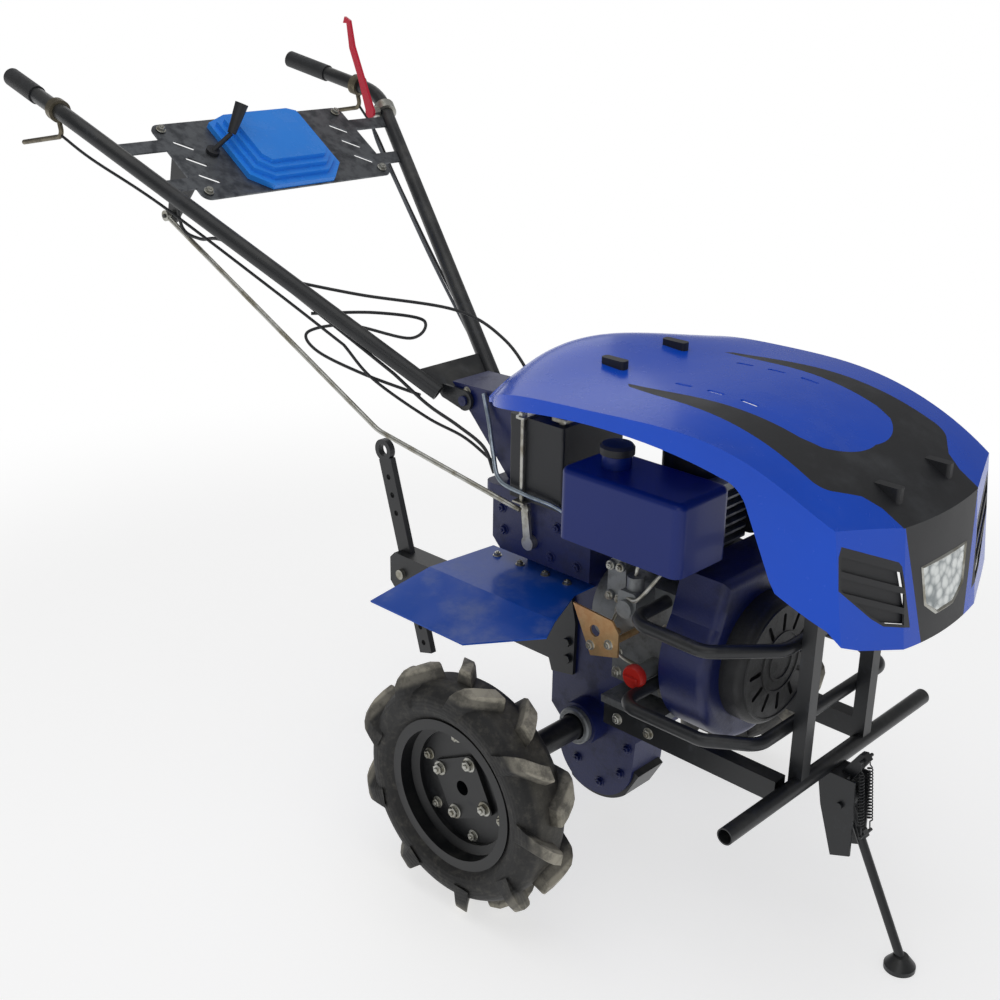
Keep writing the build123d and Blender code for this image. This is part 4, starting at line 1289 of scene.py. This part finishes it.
def cables() -> tuple[Cable, ...]:
    """The control cables: from the levers to the tubes, down to the column and into the machine."""
    return (
        Cable("cable_near_upper", (
            (-0.955, -0.262, 1.120), (-0.957, -0.250, 1.060), (-0.905, -0.246, 1.046),
            (-0.800, -0.248, 1.052), (-0.650, -0.188, 0.953), (-0.470, -0.118, 0.832),
        ), "handlebar"),
        Cable("cable_near_lower", (
            (-0.470, -0.118, 0.832), (-0.400, -0.094, 0.780), (-0.330, -0.082, 0.752),
            (-0.255, -0.086, 0.728), (-0.215, -0.098, 0.690),
        )),
        Cable("cable_hand_near", (
            (-1.146, -0.394, 1.237), (-1.075, -0.372, 1.196), (-0.930, -0.314, 1.118),
            (-0.700, -0.222, 0.972), (-0.560, -0.166, 0.880),
        ), "handlebar", 0.003),
        Cable("cable_loop", (
            (-0.560, -0.166, 0.880), (-0.520, -0.128, 0.812), (-0.430, -0.070, 0.742),
            (-0.330, -0.062, 0.722), (-0.250, -0.060, 0.690),
        ), radius=0.003),
        Cable("cable_wide_loop", (
            (-0.640, -0.180, 0.930), (-0.560, -0.085, 0.930), (-0.520, 0.010, 0.905),
            (-0.560, 0.010, 0.860), (-0.680, -0.050, 0.875), (-0.740, -0.110, 0.860),
            (-0.690, -0.130, 0.835), (-0.560, -0.125, 0.815), (-0.430, -0.085, 0.790),
        ), "handlebar", 0.0032),
        Cable("cable_cross", (
            (-0.720, -0.200, 0.990), (-0.600, -0.090, 0.960), (-0.480, 0.060, 0.925),
            (-0.380, 0.095, 0.880), (-0.290, 0.085, 0.815), (-0.225, 0.080, 0.720),
        ), radius=0.0032),
        Cable("cable_clutch", (
            (-1.043, 0.334, 1.228), (-1.000, 0.322, 1.170), (-0.905, 0.282, 1.112),
            (-0.700, 0.205, 0.968), (-0.470, 0.116, 0.830),
        ), "handlebar", finish=CABLE_GREY),
        Cable("cable_clutch_lower", (
            (-0.470, 0.116, 0.830), (-0.390, 0.090, 0.782), (-0.300, 0.078, 0.752),
            (-0.235, 0.090, 0.700),
        ), finish=CABLE_GREY),
        Cable("cable_hand_far", (
            (-1.146, 0.394, 1.237), (-1.070, 0.376, 1.186), (-0.930, 0.318, 1.092),
            (-0.700, 0.226, 0.948), (-0.470, 0.134, 0.822),
        ), "handlebar", 0.003),
        Cable("cable_hand_far_lower", (
            (-0.470, 0.134, 0.822), (-0.380, 0.100, 0.760), (-0.290, 0.084, 0.726),
            (-0.225, 0.096, 0.680),
        ), radius=0.003),
        Cable("starter_cable", (
            (-0.285, -0.056, 0.820), (-0.262, -0.064, 0.770), (-0.225, -0.090, 0.722),
            (-0.180, -0.118, 0.690), (-0.110, -0.123, 0.682), (-0.040, -0.118, 0.676),
            (0.020, -0.110, 0.652),
        ), "chassis", 0.0042, CABLE_SILVER),
    )


@dataclass(frozen=True)
class BatteryTrim:
    """Terminals and plugs of the battery.

    Args:
        middle: Middle of its top, from the axle.
    """

    middle: Point = (-0.100, -0.025, 0.824)

    def axes(self, ahead: float, left: float) -> Matrix:
        """Upright axes on the battery's top, a step away from its middle."""
        x, y, z = self.middle
        return frame_of(at(x + ahead, y + left, z), UP, FORWARD)

    def build(self) -> None:
        """Make them."""
        posts = Form()
        for left in (-0.062, 0.062):
            stud = self.axes(0.045, left)
            posts.turned(stud, ((0.0095, 0.0), (0.009, 0.014), (0.0075, 0.016)), 20)
            raised = stud @ Matrix.Translation((0, 0, 0.004))
            posts.slab(raised, oblong(0.014, 0.012, 0.018), 0.008, 0.0015)
        put("battery_terminals", posts.data("battery_terminals"), SILVER_ZINC, "chassis")
        strip = Form()
        for i in range(6):
            plug = self.axes(0.012, 0.020 * i - 0.050)
            strip.turned(plug, ((0.0075, 0.0), (0.0075, 0.003), (0.006, 0.004)), 18)
        put("battery_caps", strip.data("battery_caps"), BATTERY_BLACK, "chassis")


@dataclass(frozen=True)
class NoseTrim:
    """Black panels of painted shade behind the grilles, and the rim round the lamp.

    Args:
        grille: Outline of a grille as distances from the middle, and heights.
        lamp: Outline of the lamp, likewise.
        inset: How far behind the hood's skin the panels lie.
        top: Height where the front starts to lean.
        lean: How far it leans ahead for each metre down.
        corner: Place of the corner between nose and cheek, ahead and to the side.
        cheek: Place of the cheek's rear edge, likewise.
        middle: How far ahead the nose's middle is.
    """

    grille: tuple[Pair, ...] = (
        (0.221, 0.826), (0.125, 0.785), (0.120, 0.778), (0.101, 0.684),
        (0.148, 0.697), (0.171, 0.714), (0.225, 0.767), (0.225, 0.814),
    )
    lamp: tuple[Pair, ...] = (
        (-0.068, 0.765), (0.068, 0.765), (0.058, 0.704), (0.026, 0.682), (-0.026, 0.682), (-0.058, 0.704),
    )
    inset: float = 0.007
    top: float = 0.838
    lean: float = 0.115
    corner: Pair = (0.629, 0.112)
    cheek: Pair = (0.587, 0.234)
    middle: float = 0.636

    def backing(self) -> None:
        """Close both grilles from behind with a black panel, a painted shade for the dark inside of the
        hood.
        """
        form = Form()
        slope = (self.cheek[0] - self.corner[0]) / (self.cheek[1] - self.corner[1])
        for side in Side:
            rows = []
            for behind in (self.inset, self.inset + 0.002):
                row = []
                for y, z in self.grille:
                    skin = self.corner[0] + slope * (y - self.corner[1]) + self.lean * (self.top - z)
                    row.append(at(skin - behind, side.value * y, z))
                rows.append(row)
            form.skin(rows)
        # Painted shade: a black sheet stands in for the dark inside of the hood behind the grilles.
        put("grille_backs", form.data("grille_backs"), PLASTIC_BLACK, "chassis")

    def on_nose(self, y: float, z: float) -> Vector:
        """The point of the nose's curved front at a side distance and a height."""
        curve = (self.middle - self.corner[0]) * (y / self.corner[1]) ** 2
        return at(self.middle + self.lean * (self.top - z) - curve, y, z)

    def build(self) -> None:
        """Make the painted shade panels and the lamp's rim."""
        self.backing()
        path = []
        for start, end in zip(self.lamp, self.lamp[1:] + self.lamp[:1]):
            for i in range(6):
                y, z = (a + (b - a) * i / 6 for a, b in zip(start, end))
                path.append(self.on_nose(y, z))
        middle = sum(path, Vector()) / len(path)
        ahead = FORWARD * 0.002
        rows = []
        for point in path:
            inward = (middle - point).normalized() * 0.0035
            rows.append([point - inward, point + ahead, point + inward, point - ahead * 3])
        put("lamp_rim", Form().skin(rows, looped=True).data("lamp_rim"), SILVER_ZINC, "chassis")


# ----------------------------------------------------------------------- stage


@dataclass
class Studio:
    """A white floor and soft lights, with the camera where the photographer stood.

    Args:
        eye: The camera's place.
        heading: The way it looks, in radians from +X towards +Y.
        dip: How far it looks down, in radians.
        roll: How far it leans, in radians.
        lens: Its focal length on a 36 mm frame.
        shift: How far the frame is moved, in frame widths.
    """

    eye: Point = (1.855, -1.8995, 1.6392)
    heading: float = 2.32965731
    dip: float = 0.386880881
    roll: float = 0.0155097
    lens: float = 51.255
    shift: Pair = (-0.00184, 0.00657)

    def build(self) -> None:
        """Make the camera, the floor, the lights and the sky."""
        self.camera()
        self.floor()
        self.lights()
        self.sky()

    def camera(self) -> None:
        """Place the camera as it was solved from the photograph."""
        ahead = Vector(
            (
                math.cos(self.heading) * math.cos(self.dip),
                math.sin(self.heading) * math.cos(self.dip),
                -math.sin(self.dip),
            )
        )
        right = ahead.cross(UP).normalized()
        above = right.cross(ahead)
        leant = right * math.cos(self.roll) + above * math.sin(self.roll)
        raised = above * math.cos(self.roll) - right * math.sin(self.roll)
        data = bpy.data.cameras.new("camera")
        data.sensor_width = 36.0
        data.lens = self.lens
        data.shift_x, data.shift_y = self.shift
        camera = bpy.data.objects.new("camera", data)
        turn = Matrix((leant, raised, -ahead)).transposed().to_4x4()
        camera.matrix_world = Matrix.Translation(self.eye) @ turn
        bpy.context.scene.collection.objects.link(camera)
        bpy.context.scene.camera = camera

    def floor(self) -> None:
        """Lay a floor that keeps the object's shadow and fades to white further out."""
        bench = Bench("floor_white")
        x, y, _ = bench.parts(bench.place())
        away = ((x * x + y * y) ** 0.5).step(1.3, 2.6)
        matt = bench.node("ShaderNodeBsdfDiffuse", values={0: (0.55, 0.55, 0.55, 1.0)})
        glow = bench.node("ShaderNodeEmission", values={0: (1.0, 1.0, 1.0, 1.0), 1: 0.62})
        white = bench.node("ShaderNodeEmission", values={0: (1.0, 1.0, 1.0, 1.0), 1: 1.0})
        near = bench.node("ShaderNodeAddShader", values={0: matt, 1: glow})
        bench.end(bench.node("ShaderNodeMixShader", values={0: away, 1: near, 2: white}))
        bpy.ops.mesh.primitive_plane_add(size=60.0, location=(0, 0, -0.0008))
        floor = bpy.context.object
        floor.name = "floor"
        floor.data.materials.append(bench.material)

    def lights(self) -> None:
        """Hang a large soft light above and two weaker ones beside."""
        for name, place, size, power in (
            ("top_light", (0.2, -0.4, 3.6), 3.2, 30.0),
            ("near_light", (2.4, -3.4, 2.2), 2.4, 18.0),
            ("far_light", (-2.8, 2.2, 2.6), 2.4, 14.0),
        ):
            data = bpy.data.lights.new(name, "AREA")
            data.size = size
            data.energy = power
            lamp = bpy.data.objects.new(name, data)
            lamp.location = place
            lamp.rotation_euler = (Vector((0, 0, 0.5)) - Vector(place)).to_track_quat("-Z", "Y").to_euler()
            bpy.context.scene.collection.objects.link(lamp)

    def sky(self) -> None:
        """Surround the scene with an even pale light, seen as white."""
        world = bpy.data.worlds.new("sky")
        world.use_nodes = True
        tree = world.node_tree
        path = tree.nodes.new("ShaderNodeLightPath")
        pale = tree.nodes.new("ShaderNodeMapRange")
        pale.inputs["To Min"].default_value = 0.30
        pale.inputs["To Max"].default_value = 1.0
        tree.links.new(path.outputs["Is Camera Ray"], pale.inputs["Value"])
        background = tree.nodes["Background"]
        background.inputs["Color"].default_value = (1.0, 1.0, 1.0, 1.0)
        tree.links.new(pale.outputs[0], background.inputs["Strength"])
        bpy.context.scene.world = world
        bpy.context.scene.view_settings.view_transform = "Standard"


def main() -> None:
    """Build the studio and dress the machine."""
    logging.basicConfig(level=logging.INFO, format="%(message)s")
    Studio().build()
    dress()
    for side in Side:
        Wheel().build(side)
    for detail in (StandSprings(), EngineTrim(), Fastenings(), BatteryTrim(), NoseTrim(), *cables()):
        detail.build()


if __name__ == "__main__":
    main()
